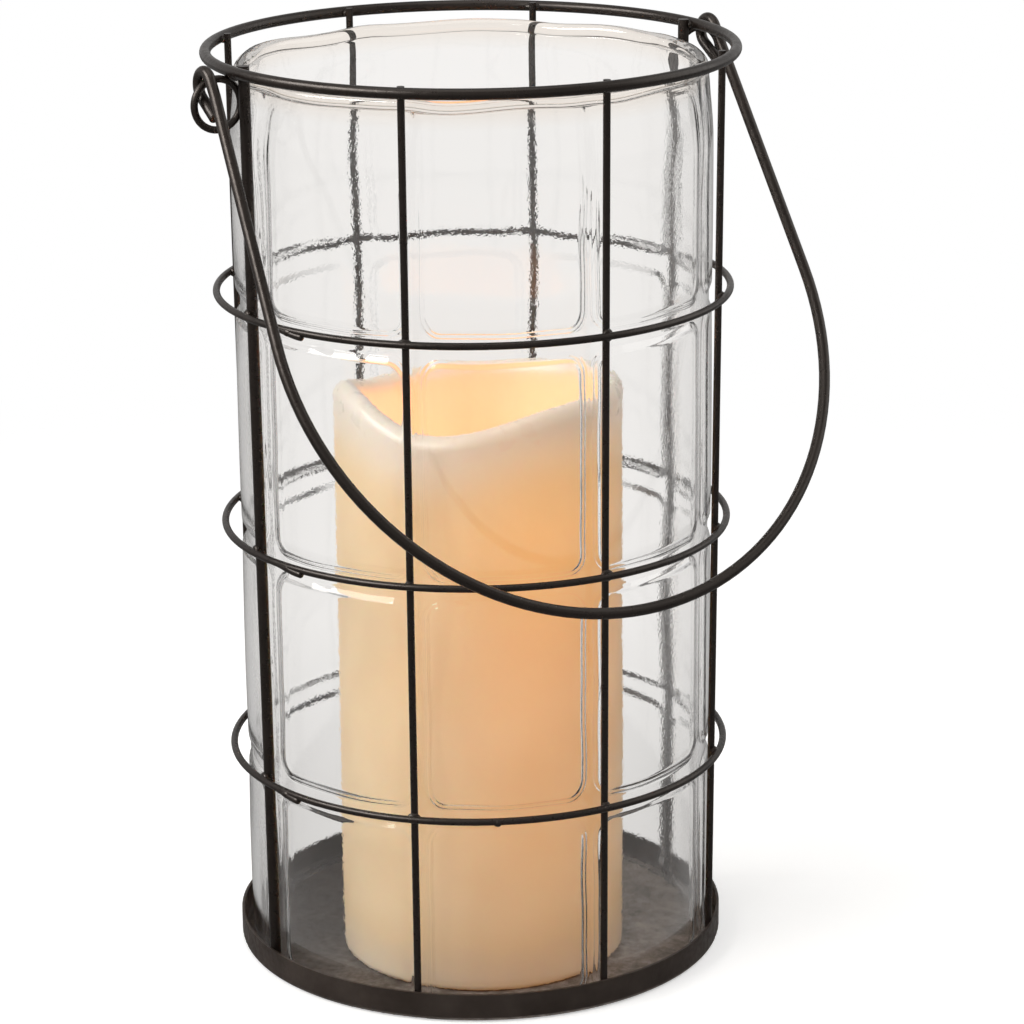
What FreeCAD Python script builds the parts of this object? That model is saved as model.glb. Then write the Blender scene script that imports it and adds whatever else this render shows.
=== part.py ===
"""Wire-cage candle lantern: a welded cage with a swinging bail, a loose blown-glass sleeve
and a flameless pillar candle standing inside it.

Lengths are millimetres and +Z is up. The origin is on the cage's axis at the underside of the
base pan. The ears lie along X, and at rest the bail leans out over -Y.
"""
import FreeCAD
import Part
import math
import os
from types import SimpleNamespace

import Sketcher

Vector = FreeCAD.Vector
Z_AXIS = Vector(0, 0, 1)
UPRIGHT_COUNT = 8
HOOP_NAMES = ("hoop_upper", "hoop_middle", "hoop_lower")

SIZES = (
    ("ring_radius", 80.0, "top ring, to the middle of its wire"),
    ("ring_wire", 3.4, "thick wire: top ring, bail and the two ear uprights"),
    ("hoop_wire", 2.2, "thin wire: hoops, ears and the other uprights"),
    ("ring_height", 285.4, "middle of the top ring above the table"),
    ("hoop_pitch", 73.3, "step from the top ring down to each hoop"),
    ("upright_proud", 1.5, "upright ends above the middle of the top ring"),
    ("weld_gap", 0.03, "room between wires that are welded together"),
    ("pan_radius", 76.8, "outside of the base pan"),
    ("pan_wall", 0.8, "sheet of the base pan"),
    ("pan_height", 9.0, "rim of the base pan"),
    ("pan_bend", 2.0, "outside bend between the pan's floor and rim"),
    ("ear_radius", 7.5, "ear ring, to the middle of its wire"),
    ("ear_reach", 4.0, "middle of an ear outside the middle of the top ring"),
    ("hook_angle", 50.0, "where the bail's hook sits on the ear, above its outermost point"),
    ("hook_inset", 1.0, "hook drawn in from the ear's wire, so that it turns inside the ear"),
    ("hook_play", 1.5, "room between the hook's wire and the ear's wire"),
    ("hook_tail", 9.5, "straight end of the hook"),
    ("hook_close", 26.0, "turn of the hook beyond half a circle, back to the arm, in degrees"),
    ("hook_lead", 5.0, "straight start of the bail's arm below the hook"),
    ("arm_bend", 30.0, "bend where the arm flares out below the hook"),
    ("bow_flare", 3.7, "round bottom of the bail outside its hooks, on each side"),
    ("bow_drop", 87.0, "hinge to the middle of the round bottom"),
    ("bail_lean", 33.0, "angle of the hanging bail out of the upright, in degrees"),
    ("groove_clear", 1.0, "room between the thick uprights and the grooves of the glass"),
    ("glass_wall", 3.4, "thickness of the panes"),
    ("glass_height", 281.5, "glass sleeve, foot to lip"),
    ("groove_depth", 1.9, "grooves between the panes"),
    ("groove_round", 8.0, "section radius of the grooves"),
    ("lip_height", 5.0, "rounded lip of the glass"),
    ("lip_inset", 1.8, "lip drawn in from the panes"),
    ("lip_thick", 4.2, "thickness of the lip"),
    ("lip_taper", 6.0, "slope from the lip's inside to the panes' inside"),
    ("candle_off_x", -4.7, "where the candle stands in the pan"),
    ("candle_off_y", -10.0, "where the candle stands in the pan"),
    ("candle_radius", 44.5, "outside of the wax"),
    ("candle_height", 181.3, "mean height of the melted rim"),
    ("wax_wall", 8.0, "wall round the well"),
    ("wax_edge", 2.0, "rounded bottom edge of the wax"),
    ("well_depth", 48.0, "mean depth of the well"),
    ("well_round", 8.0, "rounding at the bottom of the well"),
    ("well_floor", 7.0, "wax under the well"),
    ("melt_tilt", 1.8, "rise of the melted rim on one side"),
    ("melt_tilt_turn", -65.0, "direction of that rise, in degrees"),
    ("melt_saddle", 3.2, "rise of the melted rim at two opposite sides"),
    ("melt_saddle_turn", -27.0, "direction of one of those rises, in degrees"),
    ("melt_ripple", 1.5, "three-fold wave of the melted rim"),
    ("melt_ripple_turn", 42.0, "direction of one of its crests, in degrees"),
    ("melt_flutter", 1.2, "four-fold wave of the melted rim"),
    ("melt_flutter_turn", -9.0, "direction of one of its crests, in degrees"),
    ("rim_round", 3.0, "rounded edges of the melted rim"),
    ("foot_recess", 3.0, "base plate above the candle's foot"),
    ("plate_radius", 39.0, "base plate of the battery housing"),
    ("plate_thick", 4.0, "base plate of the battery housing"),
    ("plate_clear", 0.3, "room between the base plate and the wax"),
    ("hatch_shift", 6.5, "battery hatch off the candle's axis"),
    ("cell_radius", 13.1, "round cell"),
    ("cell_length", 50.0, "round cell with its button"),
    ("button_radius", 3.2, "button of a cell"),
    ("button_height", 1.5, "button of a cell"),
    ("cell_gap", 0.6, "room between the cells"),
    ("cell_clear", 0.4, "room round the cells"),
    ("housing_wall", 2.0, "wall and roof of the battery housing"),
    ("spring_room", 3.0, "height of the sprung contacts over the cells"),
    ("contact_thick", 0.5, "contact strip"),
    ("contact_width", 8.0, "contact strip"),
    ("hatch_clear", 0.3, "room round the battery cover"),
    ("hatch_ledge", 0.9, "ledge that the battery cover seats on"),
    ("cover_inset", 0.5, "battery cover inside the base plate"),
    ("cover_play", 0.05, "running room of the battery cover"),
    ("lug_reach", 1.4, "lugs of the cover beyond its edge"),
    ("lug_half_width", 6.0, "half the width of a lug"),
    ("lug_thick", 1.2, "lugs of the cover"),
    ("lug_rise", 1.1, "lugs above the cover's underside"),
    ("twist_angle", 45.0, "turn that brings the lugs to their notches, in degrees"),
    ("coin_slot_length", 24.0, "coin slot under the cover"),
    ("coin_slot_width", 2.4, "coin slot under the cover"),
    ("coin_slot_depth", 1.4, "coin slot under the cover"),
    ("board_length", 60.0, "circuit board"),
    ("board_width", 28.0, "circuit board"),
    ("board_thick", 1.6, "circuit board"),
    ("board_shift", 4.0, "circuit board's middle off the candle's axis, towards the switch"),
    ("boss_radius", 2.5, "bosses under the circuit board"),
    ("boss_height", 3.0, "bosses under the circuit board"),
    ("boss_spread", 20.0, "bosses either side of the hatch's axis"),
    ("holder_radius", 6.0, "lamp holder"),
    ("holder_bore", 3.0, "lamp holder"),
    ("holder_foot", 9.0, "flange of the lamp holder"),
    ("holder_foot_thick", 1.5, "flange of the lamp holder"),
    ("holder_clear", 0.3, "lamp holder below the wax"),
    ("lamp_radius", 4.0, "domed lamp"),
    ("lamp_height", 9.0, "domed lamp"),
    ("lamp_flange", 0.6, "lamp's flange beyond its dome"),
    ("lamp_flange_thick", 1.2, "lamp's flange"),
    ("lamp_clear", 0.4, "room round the lamp in the wax"),
    ("lead_radius", 0.5, "lead wires"),
    ("lamp_lead_pitch", 2.54, "between the lamp's leads"),
    ("switch_lead_pitch", 5.0, "between the switch's leads"),
    ("switch_x", 29.5, "slide switch off the candle's axis"),
    ("knob_width", 4.8, "switch knob, across its travel"),
    ("knob_length", 4.0, "switch knob, along its travel"),
    ("knob_drop", 1.6, "switch knob below the base plate"),
    ("switch_travel", 3.0, "travel of the switch"),
    ("switch_clear", 0.2, "room round the switch knob"),
    ("switch_play", 0.05, "running room of the switch slider"),
    ("slider_margin", 1.4, "slider's flange beyond its knob"),
    ("slider_thick", 1.2, "slider's flange"),
    ("case_wall", 1.2, "switch case"),
)


class Size:
    """A number together with the formula that ties it to the sheet."""

    def __init__(self, formula, value):
        self.formula = formula
        self.value = value

    def __add__(self, other):
        other = as_size(other)
        return Size(f"({self.formula} + {other.formula})", self.value + other.value)

    def __sub__(self, other):
        other = as_size(other)
        return Size(f"({self.formula} - {other.formula})", self.value - other.value)

    def __mul__(self, other):
        other = as_size(other)
        return Size(f"({self.formula} * {other.formula})", self.value * other.value)

    def __truediv__(self, other):
        other = as_size(other)
        return Size(f"({self.formula} / {other.formula})", self.value / other.value)

    def __neg__(self):
        return Size(f"(-1 * {self.formula})", -self.value)


def as_size(number):
    return number if isinstance(number, Size) else Size(f"{number:g}", float(number))


def root(size):
    return Size(f"sqrt({size.formula})", math.sqrt(size.value))


def larger(first, second):
    first = as_size(first)
    second = as_size(second)
    return Size(f"max({first.formula}; {second.formula})", max(first.value, second.value))


def smaller(first, second):
    return -larger(-first, -second)


def turned(distance, degrees):
    """The two legs of a distance laid off at an angle."""
    cosine = Size(f"cos({degrees.formula} * 1 deg)", math.cos(math.radians(degrees.value)))
    sine = Size(f"sin({degrees.formula} * 1 deg)", math.sin(math.radians(degrees.value)))
    return distance * cosine, distance * sine


def make_sheet(doc):
    """Spreadsheet of the driving sizes, and the same sizes as named values."""
    sheet = doc.addObject("Spreadsheet::Sheet", "Sizes")
    for row, (alias, value, meaning) in enumerate(SIZES, start=1):
        sheet.set(f"A{row}", meaning)
        sheet.set(f"B{row}", str(value))
        sheet.setAlias(f"B{row}", alias)
    doc.recompute()
    return SimpleNamespace(**{a: Size(f"Sizes.{a}", float(sheet.get(a))) for a, _, _ in SIZES})


doc = FreeCAD.newDocument("candle_lantern")
dim = make_sheet(doc)


def bind(item, **sizes):
    for name, size in sizes.items():
        item.setExpression(name, as_size(size).formula)


def place(item, x=0, y=0, z=0, axis=None, angle=0):
    """Tie an object's place, and its turn about a fixed axis, to the sheet."""
    spot = [as_size(x), as_size(y), as_size(z)]
    angle = as_size(angle)
    turn = FreeCAD.Rotation(axis, angle.value) if axis else FreeCAD.Rotation()
    item.Placement = FreeCAD.Placement(Vector(*[leg.value for leg in spot]), turn)
    for leg, size in zip("xyz", spot):
        item.setExpression(f"Placement.Base.{leg}", size.formula)
    if axis:
        item.setExpression("Placement.Rotation.Angle", angle.formula)


def add(kind, label, **sizes):
    """A primitive whose sizes are tied to the sheet."""
    item = doc.addObject(kind, label)
    bind(item, **sizes)
    return item


def new_body(label):
    return doc.addObject("PartDesign::Body", label)


def new_sketch(body, plane, height=0, angle=0):
    """Sketch on one of the body's own planes, lifted and turned on it."""
    height = as_size(height)
    angle = as_size(angle)
    sketch = body.newObject("Sketcher::SketchObject", body.Name + "_sketch")
    planes = {feature.Role: feature for feature in body.Origin.OriginFeatures}
    sketch.AttachmentSupport = [(planes[plane], "")]
    sketch.MapMode = "FlatFace"
    turn = FreeCAD.Rotation(Z_AXIS, angle.value)
    sketch.AttachmentOffset = FreeCAD.Placement(Vector(0, 0, height.value), turn)
    sketch.setExpression("AttachmentOffset.Base.z", height.formula)
    if angle.value:
        sketch.setExpression("AttachmentOffset.Rotation.Angle", angle.formula)
    return sketch


def fix_point(sketch, geometry, end, x, y):
    """Tie a point of the sketch to its two distances from the sketch's origin."""
    for kind, size, axis in (("DistanceX", as_size(x), -2), ("DistanceY", as_size(y), -1)):
        if size.value == 0:
            sketch.addConstraint(Sketcher.Constraint("PointOnObject", geometry, end, axis))
        else:
            index = sketch.addConstraint(Sketcher.Constraint(kind, -1, 1, geometry, end, size.value))
            sketch.setExpression(f"Constraints[{index}]", size.formula)


def draw_circle(sketch, x, y, radius):
    centre = Vector(as_size(x).value, as_size(y).value, 0)
    geometry = sketch.addGeometry(Part.Circle(centre, Z_AXIS, radius.value))
    fix_point(sketch, geometry, 3, x, y)
    index = sketch.addConstraint(Sketcher.Constraint("Radius", geometry, radius.value))
    sketch.setExpression(f"Constraints[{index}]", radius.formula)


def arc_between(start, end, radius, turn):
    """Short arc from start to end that turns left or right on the way."""
    middle = (start + end) * 0.5
    along = end - start
    across = Vector(-along.y, along.x, 0)
    across.normalize()
    side = 1 if turn == "left" else -1
    rise = math.sqrt(max(radius * radius - along.Length * along.Length / 4, 0))
    centre = middle + across * rise * side
    top = centre - across * radius * side
    return Part.Arc(start, top, end)


def draw_outline(sketch, *corners):
    """Closed outline through its corners (x, y). A corner (x, y, radius, turn) is reached by an arc."""
    spots = [Vector(as_size(corner[0]).value, as_size(corner[1]).value, 0) for corner in corners]
    count = len(corners)
    for index, corner in enumerate(corners):
        start = spots[index - 1]
        end = spots[index]
        if len(corner) == 2:
            sketch.addGeometry(Part.LineSegment(start, end))
        else:
            sketch.addGeometry(arc_between(start, end, corner[2].value, corner[3]))
    # An arc that turns right is stored the other way round, so its ends swap.
    ends = [(1, 2) if len(c) == 2 or c[3] == "left" else (2, 1) for c in corners]
    for index, corner in enumerate(corners):
        follower = (index + 1) % count
        joint = Sketcher.Constraint("Coincident", index, ends[index][1], follower, ends[follower][0])
        sketch.addConstraint(joint)
        fix_point(sketch, index, ends[index][1], corner[0], corner[1])
        if len(corner) == 4:
            bend = sketch.addConstraint(Sketcher.Constraint("Radius", index, corner[2].value))
            sketch.setExpression(f"Constraints[{bend}]", corner[2].formula)


def revolve(body, sketch, kind="PartDesign::Revolution"):
    feature = body.newObject(kind, body.Name + "_turned")
    feature.Profile = sketch
    feature.ReferenceAxis = (sketch, ["V_Axis"])
    feature.Angle = 360
    return feature


def extrude(body, sketch, length, kind="PartDesign::Pad", reverse=False, both_ways=False):
    feature = body.newObject(kind, body.Name + "_step")
    feature.Profile = sketch
    feature.Reversed = reverse
    if both_ways:
        feature.SideType = "Symmetric"
    bind(feature, Length=length)
    return feature


def cut_up(body, sketch, length):
    """Pocket from the sketch upwards."""
    return extrude(body, sketch, length, kind="PartDesign::Pocket", reverse=True)


def spin_copies(body, feature, sketch, count):
    """Repeat a feature evenly round the sketch's normal."""
    doc.recompute()
    pattern = body.newObject("PartDesign::PolarPattern", body.Name + "_pattern")
    pattern.Originals = [feature]
    pattern.Axis = (sketch, ["N_Axis"])
    pattern.Angle = 360
    pattern.Occurrences = count
    body.Tip = pattern


# Wires of the cage

ring_half = dim.ring_wire / 2
hoop_half = dim.hoop_wire / 2
thick_inset = ring_half - hoop_half


def top_ring():
    ring = add("Part::Torus", "top_ring", Radius1=dim.ring_radius, Radius2=ring_half)
    place(ring, z=dim.ring_height)
    return ring


def upright_line():
    """Radii of a thin upright's middle at its foot and at the top ring, and its foot's height."""
    foot_height = dim.pan_bend
    at_rim = dim.pan_radius - dim.pan_wall - hoop_half - dim.weld_gap
    at_ring = dim.ring_radius - ring_half - hoop_half - dim.weld_gap
    slope = (at_ring - at_rim) / (dim.ring_height - foot_height)
    at_foot = at_rim - larger(0, slope) * (dim.pan_height - foot_height)
    return at_foot, at_ring, foot_height


def uprights():
    """Eight wires inside the hoops. The two on X are thick and flush outside with the others."""
    at_foot, at_ring, foot_height = upright_line()
    rise = dim.ring_height - foot_height
    run = at_ring - at_foot
    lean = Size(f"atan({run.formula} / {rise.formula})", math.degrees(math.atan2(run.value, rise.value)))
    wires = []
    for number in range(UPRIGHT_COUNT):
        angle = 360.0 / UPRIGHT_COUNT * number
        carries_ear = number % (UPRIGHT_COUNT // 2) == 0
        half = ring_half if carries_ear else hoop_half
        radius = at_foot - thick_inset if carries_ear else at_foot
        length = rise + dim.upright_proud
        wire = add("Part::Cylinder", f"upright_{number + 1}", Radius=half, Height=length)
        cosine = round(math.cos(math.radians(angle)), 9)
        sine = round(math.sin(math.radians(angle)), 9)
        sideways = Vector(-sine, cosine, 0)
        place(wire, radius * cosine, radius * sine, foot_height, sideways, lean)
        wires.append(wire)
    return wires


def hoops():
    """Three hoops round the outside of the uprights, one pitch apart below the top ring."""
    at_foot, at_ring, foot_height = upright_line()
    rings = []
    for step, label in enumerate(HOOP_NAMES, start=1):
        height = dim.ring_height - dim.hoop_pitch * step
        share = (height - foot_height) / (dim.ring_height - foot_height)
        radius = at_foot + (at_ring - at_foot) * share + dim.hoop_wire + dim.weld_gap
        ring = add("Part::Torus", label, Radius1=radius, Radius2=hoop_half)
        place(ring, z=height)
        rings.append(ring)
    return rings


def base_pan():
    body = new_body("base_pan")
    sketch = new_sketch(body, "XZ_Plane")
    inside = dim.pan_radius - dim.pan_wall
    bend_start = dim.pan_radius - dim.pan_bend
    draw_outline(
        sketch,
        (0, 0),
        (bend_start, 0),
        (dim.pan_radius, dim.pan_bend, dim.pan_bend, "left"),
        (dim.pan_radius, dim.pan_height),
        (inside, dim.pan_height),
        (inside, dim.pan_bend),
        (bend_start, dim.pan_wall, dim.pan_bend - dim.pan_wall, "right"),
        (0, dim.pan_wall),
    )
    revolve(body, sketch)
    return body


# Ears and bail

ear_x = dim.ring_radius + dim.ear_reach
ear_y = ring_half + hoop_half + dim.weld_gap
ear_touch = dim.ear_radius + ring_half + hoop_half + dim.weld_gap
ear_z = dim.ring_height - root(ear_touch * ear_touch - dim.ear_reach * dim.ear_reach)
hook_out, hook_up = turned(dim.ear_radius, dim.hook_angle)
hinge_z = ear_z + hook_up


def ears():
    """Closed wire rings on the sides of the thick uprights, just touching the top ring."""
    rings = []
    for label, side in (("ear_right", 1), ("ear_left", -1)):
        ring = add("Part::Torus", label, Radius1=dim.ear_radius, Radius2=hoop_half)
        place(ring, ear_x * side, ear_y, ear_z, Vector(1, 0, 0), 90)
        rings.append(ring)
    return rings


def bail_path():
    """Middle of the bail's wire: hook, arm, round bottom, arm, hook, in the plane of its lean."""
    lean = math.radians(dim.bail_lean.value)
    down = Vector(0, -math.sin(lean), -math.cos(lean))
    out = Vector(0, -math.cos(lean), math.sin(lean))
    hinge = Vector(0, ear_y.value, hinge_z.value)
    hook_x = (ear_x + hook_out - dim.hook_inset).value
    hook_radius = (ring_half + hoop_half + dim.hook_play).value
    lead = dim.hook_lead.value
    bow = hook_x + dim.bow_flare.value
    drop = dim.bow_drop.value
    bend = dim.arm_bend.value
    close = math.radians(dim.hook_close.value)
    turn_along = hook_radius * math.sin(close)
    turn_off = -hook_radius * math.cos(close)
    tail_along = turn_along + dim.hook_tail.value * math.cos(close)
    tail_off = turn_off + dim.hook_tail.value * math.sin(close)

    def spot(x, along, off=hook_radius):
        return hinge + Vector(x, 0, 0) + down * along + out * off

    # The arm is the tangent from the end of the lead to the round bottom.
    reach = math.hypot(hook_x, drop - lead)
    to_middle = math.atan2(hook_x, drop - lead)
    flare = math.asin(bow / reach) - to_middle
    setback = bend * math.tan(flare / 2)
    bend_mid_x = hook_x + bend * (1 - math.cos(flare / 2))
    bend_mid_along = lead - setback + bend * math.sin(flare / 2)
    bend_end_x = hook_x + setback * math.sin(flare)
    side_x = bow * math.cos(flare)
    side_along = drop - bow * math.sin(flare)

    def half(side):
        """Edges from the hook's end to the round bottom, on one side."""
        tail = spot(side * hook_x, tail_along, tail_off)
        hook_start = spot(side * hook_x, turn_along, turn_off)
        hook_top = spot(side * hook_x, -hook_radius, 0)
        hook_end = spot(side * hook_x, 0)
        bend_start = spot(side * hook_x, lead - setback)
        bend_middle = spot(side * bend_mid_x, bend_mid_along)
        bend_end = spot(side * bend_end_x, lead + setback * math.cos(flare))
        arm_end = spot(side * side_x, side_along)
        return [
            Part.LineSegment(tail, hook_start).toShape(),
            Part.Arc(hook_start, hook_top, hook_end).toShape(),
            Part.LineSegment(hook_end, bend_start).toShape(),
            Part.Arc(bend_start, bend_middle, bend_end).toShape(),
            Part.LineSegment(bend_end, arm_end).toShape(),
        ]

    bottom = Part.Arc(spot(side_x, side_along), spot(0, drop + bow), spot(-side_x, side_along))
    edges = half(1) + [bottom.toShape()] + half(-1)[::-1]
    start = spot(hook_x, tail_along, tail_off)
    along_tail = down * math.cos(close) + out * math.sin(close)
    return Part.Wire(Part.__sortEdges__(edges)), start, along_tail


def bail_handle():
    wire, start, along = bail_path()
    path = doc.addObject("Part::Feature", "bail_path")
    path.Shape = wire
    section = add("Part::Circle", "bail_section", Radius=ring_half)
    section.Placement = FreeCAD.Placement(start, FreeCAD.Rotation(Z_AXIS, along))
    bail = doc.addObject("Part::Sweep", "bail_handle")
    bail.Sections = [section]
    bail.Spine = path
    bail.Solid = True
    bail.Frenet = False
    return bail


# Glass sleeve

def glass_cylinder():
    """Sleeve with grooves at every hoop and upright, so that each field between wires is a pane."""
    body = new_body("glass_cylinder")
    sketch = new_sketch(body, "XZ_Plane")
    at_foot, at_ring, _ = upright_line()
    groove_floor = smaller(at_foot, at_ring) - thick_inset - ring_half - dim.groove_clear
    outside = groove_floor + dim.groove_depth
    inside = outside - dim.glass_wall
    groove_half = root(dim.groove_depth * (dim.groove_round * 2 - dim.groove_depth))
    lip_outside = outside - dim.lip_inset
    lip_inside = lip_outside - dim.lip_thick
    lip_half = dim.lip_thick / 2
    shoulder = dim.glass_height - dim.lip_height
    corners = [(inside, 0), (outside, 0)]
    for step in range(len(HOOP_NAMES), 0, -1):
        height = dim.ring_height - dim.hoop_pitch * step - dim.pan_wall
        corners.append((outside, height - groove_half))
        corners.append((outside, height + groove_half, dim.groove_round, "right"))
    corners += [
        (outside, shoulder - dim.lip_inset),
        (lip_outside, shoulder, dim.lip_inset, "left"),
        (lip_outside, dim.glass_height - lip_half),
        (lip_outside - lip_half, dim.glass_height, lip_half, "left"),
        (lip_inside, dim.glass_height - lip_half, lip_half, "left"),
        (lip_inside, shoulder),
        (inside, shoulder - dim.lip_taper),
    ]
    draw_outline(sketch, *corners)
    revolve(body, sketch)
    groove = new_sketch(body, "XY_Plane")
    draw_circle(groove, groove_floor + dim.groove_round, 0, dim.groove_round)
    spin_copies(body, cut_up(body, groove, shoulder), groove, UPRIGHT_COUNT)
    place(body, z=dim.pan_wall)
    return body


# Candle: wax

melt_waves = (
    (1, dim.melt_tilt, dim.melt_tilt_turn),
    (2, dim.melt_saddle, dim.melt_saddle_turn),
    (3, dim.melt_ripple, dim.melt_ripple_turn),
    (4, dim.melt_flutter, dim.melt_flutter_turn),
)
candle_z = dim.pan_wall
floor_top = dim.candle_height - dim.well_depth
floor_under = floor_top - dim.well_floor
lamp_hole = dim.lamp_radius + dim.lamp_flange + dim.lamp_clear
plate_top = dim.foot_recess + dim.plate_thick


def at_candle(item, x=0, y=0, z=0, axis=None, angle=0):
    """Place something by its spot in the candle."""
    place(item, dim.candle_off_x + x, dim.candle_off_y + y, candle_z + z, axis, angle)


def wax_blank():
    """Hollow pillar with a straight rim, taller than the melted one."""
    body = new_body("wax_blank")
    sketch = new_sketch(body, "XZ_Plane")
    outside = dim.candle_radius
    well = outside - dim.wax_wall
    cavity = dim.plate_radius + dim.plate_clear
    top = dim.candle_height + dim.rim_round
    for _, rise, _ in melt_waves:
        top = top + rise
    draw_outline(
        sketch,
        (lamp_hole, floor_under),
        (cavity, floor_under),
        (cavity, 0),
        (outside - dim.wax_edge, 0),
        (outside, dim.wax_edge, dim.wax_edge, "left"),
        (outside, top),
        (well, top),
        (well, floor_top + dim.well_round),
        (well - dim.well_round, floor_top, dim.well_round, "right"),
        (lamp_hole, floor_top),
    )
    revolve(body, sketch)
    return body


def melt_surface():
    """Wavy face that the melted rim follows, through a grid of spots over the candle's top."""
    radius = dim.candle_radius.value
    half = radius + dim.wax_wall.value
    steps = 11
    legs = [half * (2 * step / (steps - 1) - 1) for step in range(steps)]
    rows = []
    for y in legs:
        spots = []
        for x in legs:
            share = math.hypot(x, y) / radius
            angle = math.atan2(y, x)
            height = dim.candle_height.value
            for count, rise, turn in melt_waves:
                crest = math.radians(turn.value)
                height += rise.value * share ** count * math.cos(count * (angle - crest))
            spots.append(Vector(x, y, height))
        rows.append(spots)
    surface = Part.BSplineSurface()
    surface.interpolate(rows)
    return surface.toShape()


def wax_shell():
    blank = wax_blank()
    melted = doc.addObject("Part::Feature", "melted_away")
    melted.Shape = melt_surface().extrude(Z_AXIS * dim.candle_radius.value)
    cut = doc.addObject("Part::Cut", "wax_melted")
    cut.Base = blank
    cut.Tool = melted
    doc.recompute()
    lowest = dim.candle_height.value - dim.well_depth.value / 2
    rim = [n for n, edge in enumerate(cut.Shape.Edges, start=1) if is_rim_edge(edge, lowest)]
    shell = doc.addObject("Part::Fillet", "wax_shell")
    shell.Base = cut
    shell.Edges = [(number, dim.rim_round.value, dim.rim_round.value) for number in rim]
    at_candle(shell)
    return shell


def is_rim_edge(edge, lowest):
    """True for the two wavy loops of the rim, not for the seams of the walls."""
    straight = edge.Curve.TypeId == "Part::GeomLine"
    return edge.BoundBox.ZMin > lowest and not straight


# Candle: battery housing, cells and contacts. The housing's own axis is the hatch's.

cell_y = dim.cell_radius + dim.cell_gap / 2
pack_radius = dim.cell_radius * 2 + dim.cell_gap / 2 + dim.cell_clear
tube_radius = pack_radius + dim.housing_wall
cover_radius = pack_radius + dim.hatch_ledge
hatch_radius = cover_radius + dim.hatch_clear
lug_radius = cover_radius + dim.lug_reach
cover_under = dim.foot_recess + dim.cover_inset
cover_top = plate_top - dim.cover_play
lug_under = cover_under + dim.lug_rise
cell_under = cover_top + dim.contact_thick
cell_top = cell_under + dim.cell_length
roof_under = cell_top + dim.spring_room
roof_top = roof_under + dim.housing_wall
board_under = roof_top + dim.boss_height
board_top = board_under + dim.board_thick
hatch_x = -dim.hatch_shift


def draw_band(sketch, radius, half_width):
    """Straight band right across a round hatch, with ends on the circle of that radius."""
    end = root(radius * radius - half_width * half_width)
    draw_outline(
        sketch,
        (end, half_width, radius, "left"),
        (-end, half_width),
        (-end, -half_width, radius, "left"),
        (end, -half_width),
    )


def draw_block(sketch, x, half_x, half_y):
    """Rectangle about a spot on the sketch's X axis."""
    draw_outline(
        sketch,
        (x + half_x, half_y),
        (x - half_x, half_y),
        (x - half_x, -half_y),
        (x + half_x, -half_y),
    )


switch_local_x = dim.switch_x + dim.hatch_shift
slot_half_x = dim.knob_width / 2 + dim.switch_clear
slot_half_y = dim.knob_length / 2 + dim.switch_travel / 2 + dim.switch_clear


def battery_housing():
    """Round base plate with the cell tube on it, a bayonet hatch and the switch's slot."""
    body = new_body("battery_housing")
    plate = new_sketch(body, "XY_Plane", dim.foot_recess)
    draw_circle(plate, dim.hatch_shift, 0, dim.plate_radius)
    extrude(body, plate, dim.plate_thick)
    tube = new_sketch(body, "XY_Plane", dim.foot_recess)
    draw_circle(tube, 0, 0, tube_radius)
    extrude(body, tube, roof_top - dim.foot_recess)
    bosses = new_sketch(body, "XY_Plane", roof_top)
    for side in (1, -1):
        draw_circle(bosses, dim.boss_spread * side, 0, dim.boss_radius)
    extrude(body, bosses, dim.boss_height)
    well = new_sketch(body, "XY_Plane", dim.foot_recess)
    draw_circle(well, 0, 0, pack_radius)
    cut_up(body, well, roof_under - dim.foot_recess)
    hatch = new_sketch(body, "XY_Plane", dim.foot_recess)
    draw_circle(hatch, 0, 0, hatch_radius)
    cut_up(body, hatch, dim.plate_thick)
    track = new_sketch(body, "XZ_Plane")
    track_low = lug_under - dim.cover_play
    track_high = lug_under + dim.lug_thick + dim.cover_play
    track_out = lug_radius + dim.hatch_clear
    draw_outline(
        track,
        (pack_radius, track_low),
        (track_out, track_low),
        (track_out, track_high),
        (pack_radius, track_high),
    )
    revolve(body, track, "PartDesign::Groove")
    notch = new_sketch(body, "XY_Plane", dim.foot_recess, dim.twist_angle)
    draw_band(notch, track_out, dim.lug_half_width + dim.hatch_clear)
    cut_up(body, notch, track_high - dim.foot_recess)
    slot = new_sketch(body, "XY_Plane", dim.foot_recess)
    draw_block(slot, switch_local_x, slot_half_x, slot_half_y)
    cut_up(body, slot, dim.plate_thick)
    at_candle(body, hatch_x)
    return body


def battery_cover():
    """Round lid with two lugs and a coin slot underneath."""
    body = new_body("battery_cover")
    disc = new_sketch(body, "XY_Plane", cover_under)
    draw_circle(disc, 0, 0, cover_radius)
    extrude(body, disc, cover_top - cover_under)
    lugs = new_sketch(body, "XY_Plane", lug_under)
    draw_band(lugs, lug_radius, dim.lug_half_width)
    extrude(body, lugs, dim.lug_thick)
    coin = new_sketch(body, "XY_Plane", cover_under)
    draw_block(coin, as_size(0), dim.coin_slot_length / 2, dim.coin_slot_width / 2)
    cut_up(body, coin, dim.coin_slot_depth)
    at_candle(body, hatch_x)
    return body


def bridge_contact():
    """Strip on the cover that joins the lower ends of the two cells."""
    length = (cell_y + dim.button_radius) * 2
    strip = add(
        "Part::Box", "bridge_contact",
        Length=dim.contact_width, Width=length, Height=dim.contact_thick,
    )
    at_candle(strip, hatch_x - dim.contact_width / 2, -(length / 2), cover_top)
    return strip


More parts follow.
